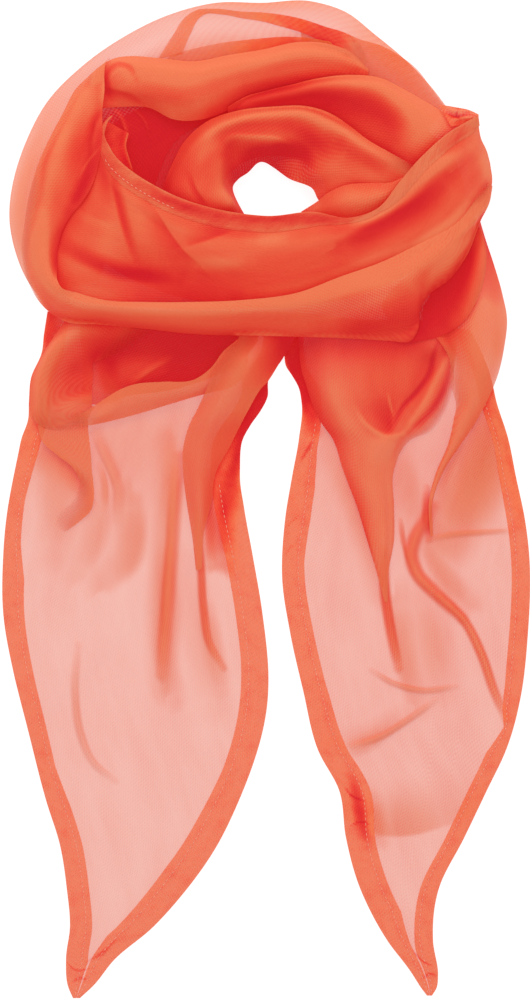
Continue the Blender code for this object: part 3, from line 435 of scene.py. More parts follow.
# The roll below it, from the left side round to the right: rim, belly, crown, inner edge.
SWAG = (
    ((111, 59, 10), (108, 61, 14), (106, 64, 16), (104, 68, 15)),
    ((90, 76, 10, 1.6), (96, 80, 17, 3.5), (102, 86, 24), (105, 92, 26, 4, -0.1)),
    ((76, 90, 10, 2.2), (84, 96, 20, 3.5), (93, 102, 23), (103, 110, 24, 4, -0.1)),
    ((63, 115, 10, 3, 0.15), (72, 119, 24, 4, 0.25), (86, 125, 24, 4, 0.15), (103, 134, 21)),
    ((50, 140, 12, 2), (60, 144, 28, 4, 0.2), (76, 148, 27, 4, 0.2), (101, 156, 24, 4, 0.2)),
    ((39, 165, 12, 1.5), (50, 169, 31, 4, 0.25), (68, 174, 30, 4, 0.2), (94, 184, 27, 4, 0.35)),
    ((30, 195, 12, 0.5), (45, 197, 31, 3, 0.2), (62, 200, 31, 4, 0.45), (84, 202, 29, 4, 0.5)),
    ((25, 225, 12, 0.3), (39, 226, 31, 3), (53, 226, 32, 4, 0.35), (67, 224, 29, 4, 0.65)),
    ((22, 250, 9, 0.1), (34, 250, 29, 2.2), (47, 248, 32), (59, 247, 28, 4, 0.7)),
    ((27, 278, 8, 0.2), (37, 275, 27, 3), (48, 270, 34), (58, 267, 30, 4, 0.7)),
    ((36, 297, 7, 0.4), (44, 290, 25, 3.2), (52, 284, 35), (58, 280, 34, 4, 0.2)),
    ((47, 310, 8, 2.5), (54, 302, 24), (60, 295, 34), (63, 289, 37)),
    ((66, 322, 8), (71, 313, 24), (76, 303, 35), (79, 294, 35)),
    ((100, 325, 8), (102, 316, 25), (104, 308, 35), (106, 301, 35)),
    ((145, 329, 8), (146, 320, 26), (147, 311, 36), (147, 303, 36)),
    ((190, 334, 8), (190, 323, 26), (190, 312, 37), (190, 303, 37)),
    ((245, 336, 8), (244, 323, 26), (243, 311, 37), (243, 301, 38)),
    ((300, 337, 8), (298, 321, 27), (297, 306, 37), (296, 294, 38)),
    ((352, 339, 9), (350, 316, 28), (346, 295, 36), (342, 277, 36)),
    ((388, 341, 10, 4, 0.3), (385, 312, 28), (381, 286, 35), (376, 265, 33)),
    ((410, 341.5, 10, 4, 0.7), (404, 306, 27, 4, 0.2), (398, 277, 34), (392, 258, 32)),
    ((418, 330, 12, 4, 0.7), (414, 298, 27, 4, 0.2), (410, 271, 34), (406, 251, 31)),
    ((420, 312, 13, 4, 0.3), (423, 284, 26), (424, 261, 33), (420, 244, 30)),
    ((430, 294, 13, 4, 0.3), (436, 272, 26), (438, 253, 32), (434, 237, 30)),
    ((449, 280, 13, 4, 0.3), (451, 260, 25), (450, 243, 30), (447, 230, 29)),
    ((466, 257, 12), (465, 243, 22), (462, 232, 27), (458, 222, 27, 3)),
    ((480, 222, 9), (478, 214, 17), (475, 209, 21, 3), (471, 206, 23, 1.5)),
    ((489, 203, 6), (487, 199, 11, 3), (484, 195, 15, 1), (481, 192, 17, 0)),
    ((492, 187, 5, 2), (490.5, 185, 8, 1), (489, 183, 9, 0.3), (488, 182, 10, 0)),
)
HEM_CORNER = (
    ((438, 105.5, 20), (444, 116, 23, 3, 0.15), (450, 128, 24)),
    ((456, 108.5, 22), (459, 117, 25, 3, 0.2), (462, 126, 25)),
    ((468, 111, 23), (469, 118, 25, 3, 0.3), (470, 125, 24)),
    ((478, 115.5, 22), (478, 119, 23), (477.5, 123, 22)),
)

# Width of each hem in metres against the share of the way along it: the tail's left hem, then
# its right one.
LEFT_TAIL_HEMS = (
    ((0, 0.015), (0.21, 0.013), (0.27, 0.0105), (0.33, 0.0112), (0.38, 0.0145), (0.42, 0.014),
     (0.64, 0.012), (0.7, 0.015), (1, 0.0145)),
    ((0, 0.015), (0.21, 0.0195), (0.29, 0.0195), (0.36, 0.018), (0.48, 0.0178), (0.65, 0.019),
     (0.72, 0.022), (0.79, 0.024), (0.9, 0.023), (0.95, 0.016), (1, 0.015)),
)
RIGHT_TAIL_HEMS = (
    ((0, 0.013), (0.19, 0.0132), (0.25, 0.0165), (0.29, 0.0168), (0.35, 0.0148), (0.53, 0.016),
     (0.59, 0.018), (0.65, 0.021), (0.71, 0.0205), (0.77, 0.019), (0.91, 0.0205), (1, 0.015)),
    ((0, 0.011), (0.19, 0.0105), (0.28, 0.012), (0.5, 0.0125), (0.56, 0.011), (0.59, 0.0066),
     (0.63, 0.0125), (1, 0.0122)),
)
# The same for the one hem of the front.
FRONT_HEM_WIDTHS = (
    (0, 0.003), (0.08, 0.007), (0.18, 0.0115), (0.45, 0.0125), (0.58, 0.0115), (0.66, 0.005), (0.74, 0.0035),
    (0.8, 0.0085), (1, 0.0095),
)

# Creases: height in millimetres, width on the left and on the right of the line in plan units,
# extra layers, extra depth of tone (painted shade along the crease, and a painted highlight where
# it is below nought), line.
OUTER_TURN_FOLDS = (
    # from the upper roll's end down into the hollow
    (1.5, 5, 3, 0, -0.25, ((112, 108), (121, 118), (126, 132), (127, 150))),
    (1.2, 4, 3, 0, -0.2, ((124, 106), (136, 112), (146, 124), (150, 140))),
    (1, 4, 4, 0, -0.15, ((110, 116), (114, 128), (113, 140))),
)
LEFT_TAIL_FOLDS = (
    (2, 14, 14, 0.45, 0, ((171, 438), (172, 475), (170, 520))),
    (3, 11, 8, 2, 0.2, ((178, 456), (174, 500), (170, 560), (165, 620), (161, 675))),
    (2, 16, 20, 0.7, 0.1, ((168, 560), (170, 610), (168, 660), (176, 700))),
    (2.5, 10, 6, 0.5, 0, ((94, 434), (106, 460), (117, 488), (116, 520))),
    (1.5, 3, 7, 0.8, 0, ((102, 466), (106, 486), (106, 508))),
    (3, 5, 6, 2.4, 0.45, ((197, 510), (201, 560), (204, 610), (210, 644), (224, 668))),
    (2, 14, 16, 0.5, 0, ((208, 610), (214, 650), (222, 690))),
    (0, 8, 10, 1.4, 0.2, ((206, 462), (209, 500), (211, 530), (214, 566))),
    (3, 4, 7, 0.6, 0, ((79, 645), (76, 690), (82, 735), (94, 762), (116, 780))),
    (0, 5, 30, 1, 0.1, ((40, 440), (58, 456), (76, 472), (90, 492))),
    (0, 40, 26, 3, 1, ((296, 336), (272, 378), (258, 410), (240, 446))),
    (0, 20, 14, 3.4, 0.75, ((276, 366), (252, 424), (236, 464), (227, 494), (222, 526), (224, 564))),
    (0, 9, 9, 1.2, 0.1, ((228, 440), (216, 476), (209, 516), (210, 568))),
    (0, 13, 13, 4, 0.7, ((103, 344), (106, 362), (110, 380), (114, 396))),
    (0, 120, 120, 0.45, 0.05, ((20, 450), (100, 440), (180, 430), (270, 430))),
    (0, 20, 20, 1.2, 0.3, ((48, 300), (46, 330), (42, 350))),
    (-0.4, 1.5, 1.5, 0.5, 0.6, ((66, 962), (76, 970), (92, 968))),
    (-0.4, 1.5, 1.5, 0.5, 0.6, ((70, 984), (80, 978), (90, 982))),
    (0.4, 2, 3, 0.5, 0.5, ((86, 962), (100, 954), (118, 938))),
)
RIGHT_TAIL_FOLDS = (
    (4, 6, 8, 3, 0.5, ((384, 550), (386, 594), (391, 628), (399, 668))),
    (3, 3, 5, 0.7, 0, ((372, 670), (392, 682), (424, 690), (456, 686))),
    (3, 4, 7, 1.6, 0.4, ((428, 488), (427, 508), (430, 540))),
    (4, 10, 9, 2.6, 0.3, ((432, 506), (425, 520), (416, 535), (411, 553), (416, 572), (436, 594),
     (462, 618))),
    (4, 6, 7, 2.4, 0.25, ((440, 596), (464, 620), (482, 655), (494, 690), (506, 718))),
    (3, 5, 4, 0.6, 0, ((352, 746), (378, 738), (408, 720), (436, 700))),
    (2, 14, 12, 0.5, 0, ((345, 750), (362, 746), (384, 732))),
    (2, 3, 5, 1.1, 0, ((428, 539), (452, 534), (480, 532), (510, 530))),
    (2, 3, 4, 1.4, 0.2, ((401, 520), (404, 542), (410, 562))),
    (0, 14, 14, 3, 1, ((290, 300), (291, 340), (296, 375), (304, 402), (314, 430))),
    (0, 10, 10, 0.6, 0.8, ((352, 776), (358, 806), (366, 846))),
    (-0.5, 1.5, 1.5, 0.5, 0.8, ((344, 786), (352, 796), (362, 800))),
    (-0.5, 1.5, 1.5, 0.5, 0.8, ((350, 826), (360, 822), (370, 824))),
    (-0.4, 1.5, 1.5, 0.5, 0.6, ((412, 950), (424, 962), (434, 966))),
    (-0.4, 1.5, 1.5, 0.5, 0.6, ((420, 980), (430, 974), (438, 976))),
    (-0.4, 1.2, 1.2, 0.5, 0.5, ((284, 530), (291, 522), (298, 516))),
    (-0.4, 1.2, 1.2, 0.5, 0.5, ((284, 556), (292, 546), (298, 543))),
    (1, 16, 14, 1, 0.1, ((372, 800), (374, 820), (380, 840))),
    (0.5, 1.5, 1.5, 0.8, 1, ((300, 462), (306, 452), (313, 440))),
    (0, 110, 110, 0.25, 0.05, ((280, 430), (380, 460), (520, 440))),
    (0, 12, 9, 1.4, 0.2, ((498, 392), (507, 436), (514, 480), (520, 524))),
)
LEFT_POCKET_FOLDS = (
    (1, 8, 3, 0, -0.2, ((128, 388), (150, 371), (174, 357))),
)
RIGHT_SCOOP_FOLDS = (
    (1, 4, 5, 0, -0.15, ((356, 408), (366, 424), (378, 433), (390, 437), (402, 434), (410, 428))),
    (-1, 5, 4, 0, 0.4, ((440, 338), (434, 352), (429, 373), (417, 391), (401, 409), (392, 430))),
    (0.8, 7, 5, 0, -0.2, ((457, 346), (446, 361), (438, 374), (426, 399), (413, 419), (403, 434))),
    (-0.5, 6, 6, 0.8, 0.5, ((453, 360), (446, 384), (438, 401), (424, 419), (408, 432))),
    (0.8, 2.5, 2.5, 0, -0.3, ((388, 394), (390, 404), (393, 416))),
)
FRONT_FOLDS = (
    (-1.5, 9, 5, 0, 0.22, ((112, 172), (119, 203), (127, 235), (136, 262))),
    (0, 20, 14, 0, -0.08, ((126, 192), (138, 222), (148, 250))),
    (0, 22, 22, 0, 0.25, ((104, 270), (135, 280), (190, 290), (230, 288))),
    (0, 14, 16, 0, -0.4, ((60, 290), (86, 296), (128, 302))),
    (0, 10, 12, 0, 0.25, ((100, 146), (104, 172), (110, 198))),
    (0, 26, 26, 0, 0.2, ((108, 166), (98, 204), (88, 234), (82, 272))),
    (0, 16, 11, 0, 0.62, ((58, 244), (86, 260), (116, 272), (150, 277), (180, 280))),
    (-1, 3, 26, 0, 0.25, ((154, 210), (170, 236), (184, 254), (200, 268))),
    (-1, 20, 4, 0, 0.25, ((184, 247), (206, 240), (234, 230))),
    (0, 12, 12, 0, -0.25, ((185, 262), (215, 264), (250, 262))),
    (0, 13, 13, 0, -0.25, ((252, 239), (272, 239), (292, 238))),
    (0, 5, 10, 0, -0.12, ((70, 206), (96, 222), (118, 226))),
    (0, 9, 9, 0, 0.5, ((140, 184), (172, 203), (204, 214), (232, 219))),
    (0, 9, 9, 0, 0.5, ((218, 216), (260, 221), (305, 219), (345, 222))),
    (0, 8, 8, 0, 0.2, ((190, 226), (230, 234), (280, 234))),
    (0, 12, 6, 0, -0.25, ((334, 224), (352, 224), (376, 214), (392, 198))),
    (-1, 9, 28, 0, 0.58, ((340, 246), (372, 228), (408, 208), (446, 178))),
    (0, 10, 12, 0, -0.42, ((400, 256), (424, 242), (450, 224), (474, 198))),
    (0, 12, 12, 0, -0.35, ((250, 296), (290, 290), (330, 279), (372, 262), (400, 250))),
    (0, 12, 12, 0, 0.2, ((324, 236), (350, 232), (378, 226))),
    (1.5, 11, 11, 0, -0.25, ((395, 196), (430, 172), (468, 150))),
    (0, 16, 16, 0, -0.25, ((488, 148), (486, 176), (474, 204))),
)
SWAG_FOLDS = (
    (0.3, 1.8, 1.8, 0, -0.35, ((102, 148), (90, 161), (79, 179))),
    (0, 22, 14, 0, 0.3, ((84, 132), (78, 150), (74, 168), (72, 192))),
    (0, 12, 14, 0, 0.78, ((105, 94), (101, 132), (96, 164), (84, 192), (72, 212))),
    (0, 12, 12, 0, -0.2, ((108, 62), (90, 86), (72, 112), (56, 148))),
    (1, 14, 14, 0, -0.25, ((40, 216), (40, 244), (44, 272), (60, 298))),
    (0, 36, 26, 0, 0.52, ((330, 332), (375, 322), (402, 308), (414, 284))),
    (0, 13, 13, 0, 0.25, ((334, 302), (368, 293), (396, 282))),
    (0, 12, 12, 0, -0.25, ((424, 294), (440, 270), (460, 246), (476, 220))),
    (0, 16, 16, 0, 0.1, ((230, 316), (270, 316), (320, 312), (360, 300))),
    (0, 14, 14, 0, -0.25, ((300, 294), (345, 276), (390, 258), (440, 236), (470, 220))),
)
UPPER_ROLL_FOLDS = (
    (-1.5, 5, 7, 0, 0.3, ((108, 94), (107, 74), (118, 65), (130, 68), (137, 80))),
    (-1, 3, 9, 0, 0.2, ((104, 90), (120, 94), (135, 99), (144, 106))),
    (0, 16, 16, 0, 0.35, ((215, 112), (250, 92), (290, 84), (330, 80))),
    (0, 12, 12, 0, 0.25, ((215, 84), (250, 74), (300, 64), (340, 64))),
    (0, 14, 14, 0, 0.2, ((108, 104), (112, 85), (126, 72))),
    (0, 18, 18, 0, 0.42, ((112, 90), (145, 92), (185, 96), (215, 88), (240, 84))),
    (0, 6, 6, 0, -0.15, ((150, 62), (190, 64), (225, 60), (260, 54))),
)
RIGHT_ROLL_FOLDS = (
    (0, 26, 26, 0, 0.66, ((236, 106), (290, 98), (330, 100), (364, 112), (390, 130), (402, 154))),
    (0, 20, 20, 0, 0.25, ((350, 92), (376, 102), (392, 120), (396, 138))),
    (0, 12, 12, 0, 0.1, ((430, 176), (445, 152), (462, 132))),
)
INNER_RING_FOLDS = (
    (1, 4, 7, 0, -0.15, ((222, 150), (228, 140), (252, 138), (280, 141), (300, 150))),
    (0, 26, 26, 0, 0.4, ((166, 204), (184, 172), (198, 150), (212, 136))),
    (0, 20, 20, 0, 0.4, ((196, 206), (208, 178), (218, 156), (232, 136), (262, 130), (300, 134), (316, 150),
     (317, 172))),
    (0, 14, 14, 0, 0.3, ((246, 158), (270, 153), (298, 153), (318, 168))),
    (0, 14, 14, 0, 0.5, ((268, 150), (290, 150), (304, 158), (307, 174))),
    (0, 20, 20, 0, 0.42, ((292, 130), (316, 142), (345, 156))),
    (0, 14, 16, 0, 0.45, ((334, 136), (356, 150), (374, 160), (392, 172))),
    (-1, 3, 7, 0, 0.2, ((190, 176), (196, 192), (206, 206))),
    (0, 10, 10, 0, -0.2, ((196, 166), (208, 152), (224, 142))),
)
INNER_PETAL_FOLDS = (
    (0, 14, 14, 0, -0.3, ((316, 214), (340, 218), (375, 208), (396, 194))),
)
HEM_CORNER_FOLDS = (
    (1.5, 3, 2, 0, -0.3, ((444, 107), (452, 112), (464, 112))),
    (1.5, 2, 3, 0, -0.3, ((450, 122), (460, 119), (474, 119))),
    (-1.5, 3, 3, 0, 0.5, ((446, 114), (456, 118), (468, 115))),
    (-1.2, 2, 2, 0, 0.5, ((458, 108), (456, 116), (460, 122))),
)

# Soft shadows on the single cloth: width on the left and on the right, share of the light, line.
LEFT_TAIL_SHADES = (
    (14, 34, 0.42, ((134, 500), (138, 530), (133, 560), (108, 584))),
    (8, 24, 0.35, ((172, 440), (171, 500), (167, 560), (164, 620), (166, 690))),
    (26, 26, 0.15, ((190, 560), (196, 610), (204, 660), (214, 710))),
    (8, 34, 0.4, ((46, 448), (66, 464), (88, 486), (90, 508))),
    (10, 10, 0.15, ((98, 432), (112, 464), (120, 494))),
    (34, 28, 0.26, ((34, 430), (50, 470), (58, 510), (56, 556))),
    (16, 30, 0.25, ((104, 500), (98, 540), (80, 574))),
    (16, 16, 1.3, ((280, 358), (262, 400), (244, 440), (232, 472), (226, 496))),
)
RIGHT_TAIL_SHADES = (
    (30, 10, 0.42, ((396, 600), (398, 630), (402, 664), (412, 700))),
    (30, 30, 0.25, ((420, 600), (432, 640), (436, 690))),
    (44, 44, 0.95, ((498, 392), (490, 440), (474, 486), (446, 536))),
    (64, 5, 0.4, ((358, 824), (384, 833), (408, 833), (450, 822))),
    (14, 30, 0.2, ((400, 450), (412, 490), (418, 530))),
    (22, 8, 0.2, ((340, 744), (372, 738), (410, 716))),
    (8, 24, 0.35, ((334, 436), (346, 474), (360, 508), (372, 548), (383, 592))),
    (10, 16, 0.55, ((480, 424), (462, 450), (448, 478), (439, 508))),
    (20, 14, 0.4, ((424, 530), (432, 556), (452, 588), (470, 604))),
    (16, 16, 1.5, ((288, 322), (291, 350), (296, 376), (304, 402))),
)
# Painted warm light, on rims that light comes through and on the back hem's bands, in the same columns.
OUTER_TURN_WARMS = (
    (12, 28, 0.9, ((46, 316), (22, 276), (11, 232), (11, 195), (25, 145), (49, 100), (88, 62))),
    (12, 13, 1, ((186, 10), (216, 3), (262, 3), (300, 2), (334, 6))),
    (12, 44, 0.9, ((352, 14), (375, 35), (405, 60), (430, 86), (452, 112))),
)
OUTER_SECOND_WARMS = (
    (12, 40, 0.8, ((345, 34), (380, 46), (405, 60), (432, 90), (450, 114))),
)
BACK_HEM_WARMS = (
    (16, 16, 1, ((150, 70), (178, 44), (196, 17), (222, 12), (262, 17), (300, 26))),
)
BACK_HEM_LOW_WARMS = (
    (20, 20, 1, ((150, 64), (190, 58), (240, 50), (290, 44), (344, 50))),
)


# ---------------------------------------------------------------- geometry
def plan_to_world(points):
    """Table points to metres."""
    points = np.asarray(points, dtype=float)
    world = np.empty(points.shape)
    world[..., 0] = (points[..., 0] - PLAN_MIDDLE) * GRID
    world[..., 1] = (PLAN_FOOT - points[..., 1]) * GRID
    world[..., 2] = points[..., 2] * MILLI
    return world


def hermite(points, count, axis=0):
    """A smooth curve through points along one axis, read at count even steps of length."""
    points = np.moveaxis(np.asarray(points, dtype=float), axis, 0)
    steps = np.linalg.norm(np.diff(points, axis=0), axis=-1)
    steps = steps.reshape(len(points) - 1, -1).mean(axis=1)
    knots = np.concatenate(([0.0], np.cumsum(np.maximum(steps, LEAST_KNOT))))
    spans = np.diff(knots).reshape((-1,) + (1,) * (points.ndim - 1))
    slopes = np.diff(points, axis=0) / spans
    tangents = np.empty_like(points)
    tangents[0] = slopes[0]
    tangents[-1] = slopes[-1]
    tangents[1:-1] = (slopes[:-1] * spans[1:] + slopes[1:] * spans[:-1]) / (spans[:-1] + spans[1:])
    reads = np.linspace(0.0, knots[-1], count)
    index = np.clip(np.searchsorted(knots, reads, side="right") - 1, 0, len(knots) - 2)
    shape = (-1,) + (1,) * (points.ndim - 1)
    t = ((reads - knots[index]) / np.diff(knots)[index]).reshape(shape)
    span = np.diff(knots)[index].reshape(shape)
    curve = (
        (2 * t**3 - 3 * t**2 + 1) * points[index]
        + (t**3 - 2 * t**2 + t) * span * tangents[index]
        + (3 * t**2 - 2 * t**3) * points[index + 1]
        + (t**3 - t**2) * span * tangents[index + 1]
    )
    return np.moveaxis(curve, 0, axis)


def run_of(grid, axis):
    """Running length along one axis of a grid of points."""
    run = np.cumsum(np.linalg.norm(np.diff(grid, axis=axis), axis=-1), axis=axis)
    return np.insert(run, 0, 0.0, axis=axis)


def read_across(grid, run, places):
    """Points of each section at the given distances from its first edge."""
    out = np.empty((grid.shape[0], places.shape[1], grid.shape[2]))
    for i in range(grid.shape[0]):
        for axis in range(grid.shape[2]):
            out[i, :, axis] = np.interp(places[i], run[i], grid[i, :, axis])
    return out


def padded_rows(rows, layers, depth):
    """Rows with layers and depth written out for every point."""
    return [[tuple(point) + (0, 0, 0, layers, depth)[len(point):] for point in row] for row in rows]


def loft(rows):
    """A fine grid of points through a table of sections, with layers and depth."""
    table = np.asarray(rows, dtype=float)
    rails = np.concatenate((plan_to_world(table[..., :3]), table[..., 3:] * EXTRA), axis=-1)
    long_way = run_of(rails[..., :3], 0)[-1].max()
    wide_way = run_of(rails[..., :3], 1)[:, -1].max()
    along = max(LEAST_STEPS[0], int(long_way / SPACING))
    across = max(LEAST_STEPS[1], int(wide_way / SPACING))
    fine = hermite(hermite(rails, along + 1, 0), across * FINE, 1)
    run = run_of(fine[..., :3], 1)
    places = np.linspace(0, 1, across + 1)[None] * run[:, -1:]
    out = read_across(fine, run, places)
    return out[..., :3], out[..., 3] / EXTRA, out[..., 4] / EXTRA


def line_distance(x, y, line):
    """Distance from points to a poly-line, how far along it (0 to 1), and on which side."""
    lengths = np.linalg.norm(np.diff(line, axis=0), axis=1)
    starts = np.concatenate(([0.0], np.cumsum(lengths)))
    best = np.full(x.shape, np.inf)
    where = np.zeros(x.shape)
    right = np.zeros(x.shape, dtype=bool)
    for k, length in enumerate(lengths):
        dx, dy = (line[k + 1] - line[k]) / length
        along = np.clip((x - line[k, 0]) * dx + (y - line[k, 1]) * dy, 0.0, length)
        gap = np.hypot(x - line[k, 0] - along * dx, y - line[k, 1] - along * dy)
        nearer = gap < best
        best = np.where(nearer, gap, best)
        where = np.where(nearer, (starts[k] + along) / starts[-1], where)
        right = np.where(nearer, (y - line[k, 1]) * dx - (x - line[k, 0]) * dy > 0, right)
    return best, where, right


def soft_line(grid, left_width, right_width, end, line):
    """A soft ridge along a line, 1 on it and 0 beside it, that fades out at its ends."""
    x = grid[..., 0] / GRID + PLAN_MIDDLE
    y = PLAN_FOOT - grid[..., 1] / GRID
    gap, where, right = line_distance(x, y, hermite(line, LINE_POINTS))
    ridge = np.cos(np.clip(gap / np.where(right, right_width, left_width), 0, 1) * math.pi / 2) ** 2
    return ridge * np.sin(math.pi * np.clip(where, end, 1 - end)) ** END_EASE


def crease(grid, folds, layers, depth):
    """Raise soft ridges (or troughs), gather the cloth along them, and paint shade (or a highlight) along
    them.
    """
    plan = grid.copy()
    for height, left_width, right_width, extra, deeper, line in folds:
        ridge = soft_line(plan, left_width, right_width, CREASE_END, line)
        grid[..., 2] += height * MILLI * ridge
        layers += extra * ridge
        depth += deeper * ridge


def light_lines(grid, lines):
    """Share of shadow, or of light that comes through, along soft lines."""
    shares = np.zeros(grid.shape[:2])
    for left_width, right_width, share, line in lines:
        shares = np.maximum(shares, share * soft_line(grid, left_width, right_width, SHADE_END, line))
    return shares


def normals(grid):
    """Unit normals of a grid of points, pointing away from the floor."""
    normal = np.cross(np.gradient(grid, axis=0), np.gradient(grid, axis=1))
    normal /= np.maximum(np.linalg.norm(normal, axis=-1, keepdims=True), TINY)
    if normal[..., 2].sum() < 0:
        normal = -normal
    return normal


def spread(values, turns=1):
    """Each value raised to the highest of its neighbours."""
    for _ in range(turns):
        p = np.pad(values, 1, mode="edge")
        high, wide = values.shape
        values = np.max([p[i:i + high, j:j + wide] for i in range(3) for j in range(3)], axis=0)
    return values


def blur(values, turns):
    """Each value drawn towards the mean of its four neighbours."""
    for _ in range(turns):
        p = np.pad(values, 1, mode="edge")
        values = (p[:-2, 1:-1] + p[2:, 1:-1] + p[1:-1, :-2] + p[1:-1, 2:] + 4 * values) / 8
    return values


class Heap:
    """Height map of the cloth laid so far."""

    def __init__(self):
        self.shape = [int(2 * half / CELL) + 1 for half in HEAP_HALF]
        self.top = np.zeros(self.shape)

    def cells(self, points):
        """The cell of each point, as two index arrays."""
        return tuple(
            np.clip(np.rint((points[..., k] + HEAP_HALF[k]) / CELL).astype(int), 0, self.shape[k] - 1)
            for k in (0, 1)
        )

    def lift(self, grid):
        """Raise a sheet where it would lie lower than the cloth below it, with soft slopes."""
        below = spread(self.top)[self.cells(grid)]
        need = np.maximum(below + CLOTH_GAP - grid[..., 2], 0.0)
        if need.max() > 0:
            grid[..., 2] += np.maximum(blur(spread(need, LIFT_SPREAD), LIFT_BLUR), 0.0)
            left = np.maximum(below + CLOTH_GAP - grid[..., 2], 0.0)
            grid[..., 2] += blur(spread(left), 1)

    def add(self, grid):
        """Enter a laid sheet into the height map."""
        np.maximum.at(self.top, self.cells(grid), grid[..., 2])

    def level(self, radius):
        """The height map, smoothed over a radius."""
        size = int(radius / CELL)
        window = 2 * size + 1
        smooth = self.top
        for _ in range(LEVEL_ROUNDS):
            for axis in (0, 1):
                pads = [(size + 1, size) if a == axis else (0, 0) for a in (0, 1)]
                run = np.cumsum(np.pad(smooth, pads), axis=axis)
                count = smooth.shape[axis]
                high = np.take(run, np.arange(window, window + count), axis=axis)
                low = np.take(run, np.arange(0, count), axis=axis)
                smooth = (high - low) / window
        return smooth

    def openness(self, points):
        """Share of the sky that each point sees past the cloth round it."""
        top = spread(self.top)
        total = np.zeros(points.shape[:-1])
        for k in range(SKY_TURNS):
            angle = 2 * math.pi * k / SKY_TURNS
            horizon = np.zeros(total.shape)
            for reach in SKY_REACHES:
                spot = points + np.array((math.cos(angle), math.sin(angle), 0.0)) * reach
                rise = top[self.cells(spot)] - points[..., 2]
                horizon = np.maximum(horizon, rise / np.hypot(reach, rise))
            total += 1 - horizon
        return total / SKY_TURNS


# ---------------------------------------------------------------- materials
# Tones of the cloth, from a painted highlight on a crest to painted shade deep among the folds, where
# stacked layers also deepen the colour: depth, and colour.
TONES = (
    (0.00, (0.630, 0.196, 0.082, 1.0)),
    (0.25, (0.615, 0.112, 0.047, 1.0)),
    (0.50, (0.590, 0.056, 0.028, 1.0)),
    (0.75, (0.520, 0.024, 0.019, 1.0)),
    (1.00, (0.430, 0.007, 0.015, 1.0)),
)
CHIFFON = {
    "Roughness": 0.75,
    "Specular IOR Level": 0.1,
    "Sheen Weight": 0.03,
    "Sheen Roughness": 0.5,
    "Sheen Tint": (1.0, 0.72, 0.62, 1.0),
    "Emission Color": (1.0, 0.018, 0.020, 1.0),     # painted glow: red emission that stands in for light coming through the layers
}
LET_THROUGH = 0.36              # share of the light that one layer of chiffon lets through
LAYERS_UNEVEN = (0.4, 0.80)     # the layers gather unevenly: gain on the slow noise, and offset
OPEN_WEAVE = 0.03               # how far the gaps between the threads let more through
BODY = (0.06, 0.84)             # brightness gained with each layer, and without any
BIAS = ((0.60, 0.80, 0.0), (0.80, -0.60, 0.0))
THREAD = (0.0016, 0.0046)       # pitch of the weave that shows, and of its slubs
FLECK = 0.22                    # how far the weave changes the tone
WEAVE_SHARE = 0.5               # of the weave, beside the crepe grain
WEAVE_RELIEF = 0.0004
GRAIN = {"Scale": 900.0, "Detail": 3.0}
SLOW = {"Scale": 1.0, "Detail": 5.0, "Roughness": 0.62}
WRINKLES = {"Strength": 0.6, "Distance": 0.0018}
STITCH_THREAD = {"Base Color": (0.98, 0.45, 0.30, 1.0), "Roughness": 0.6}


def principled(name, values):
    """A material with the given values on its shader's own sockets."""
    made = bpy.data.materials.new(name)
    made.use_nodes = True
    shader = made.node_tree.nodes["Principled BSDF"]
    for key, value in values.items():
        shader.inputs[key].default_value = value
    return made


def add_node(tree, kind, inputs, **settings):
    """A shader node, with each of the given inputs linked to a socket or set to a value."""
    node = tree.nodes.new(kind)
    for key, value in settings.items():
        setattr(node, key, value)
    for key, value in inputs.items():
        if isinstance(value, bpy.types.NodeSocket):
            tree.links.new(value, node.inputs[key])
        else:
            node.inputs[key].default_value = value
    return node


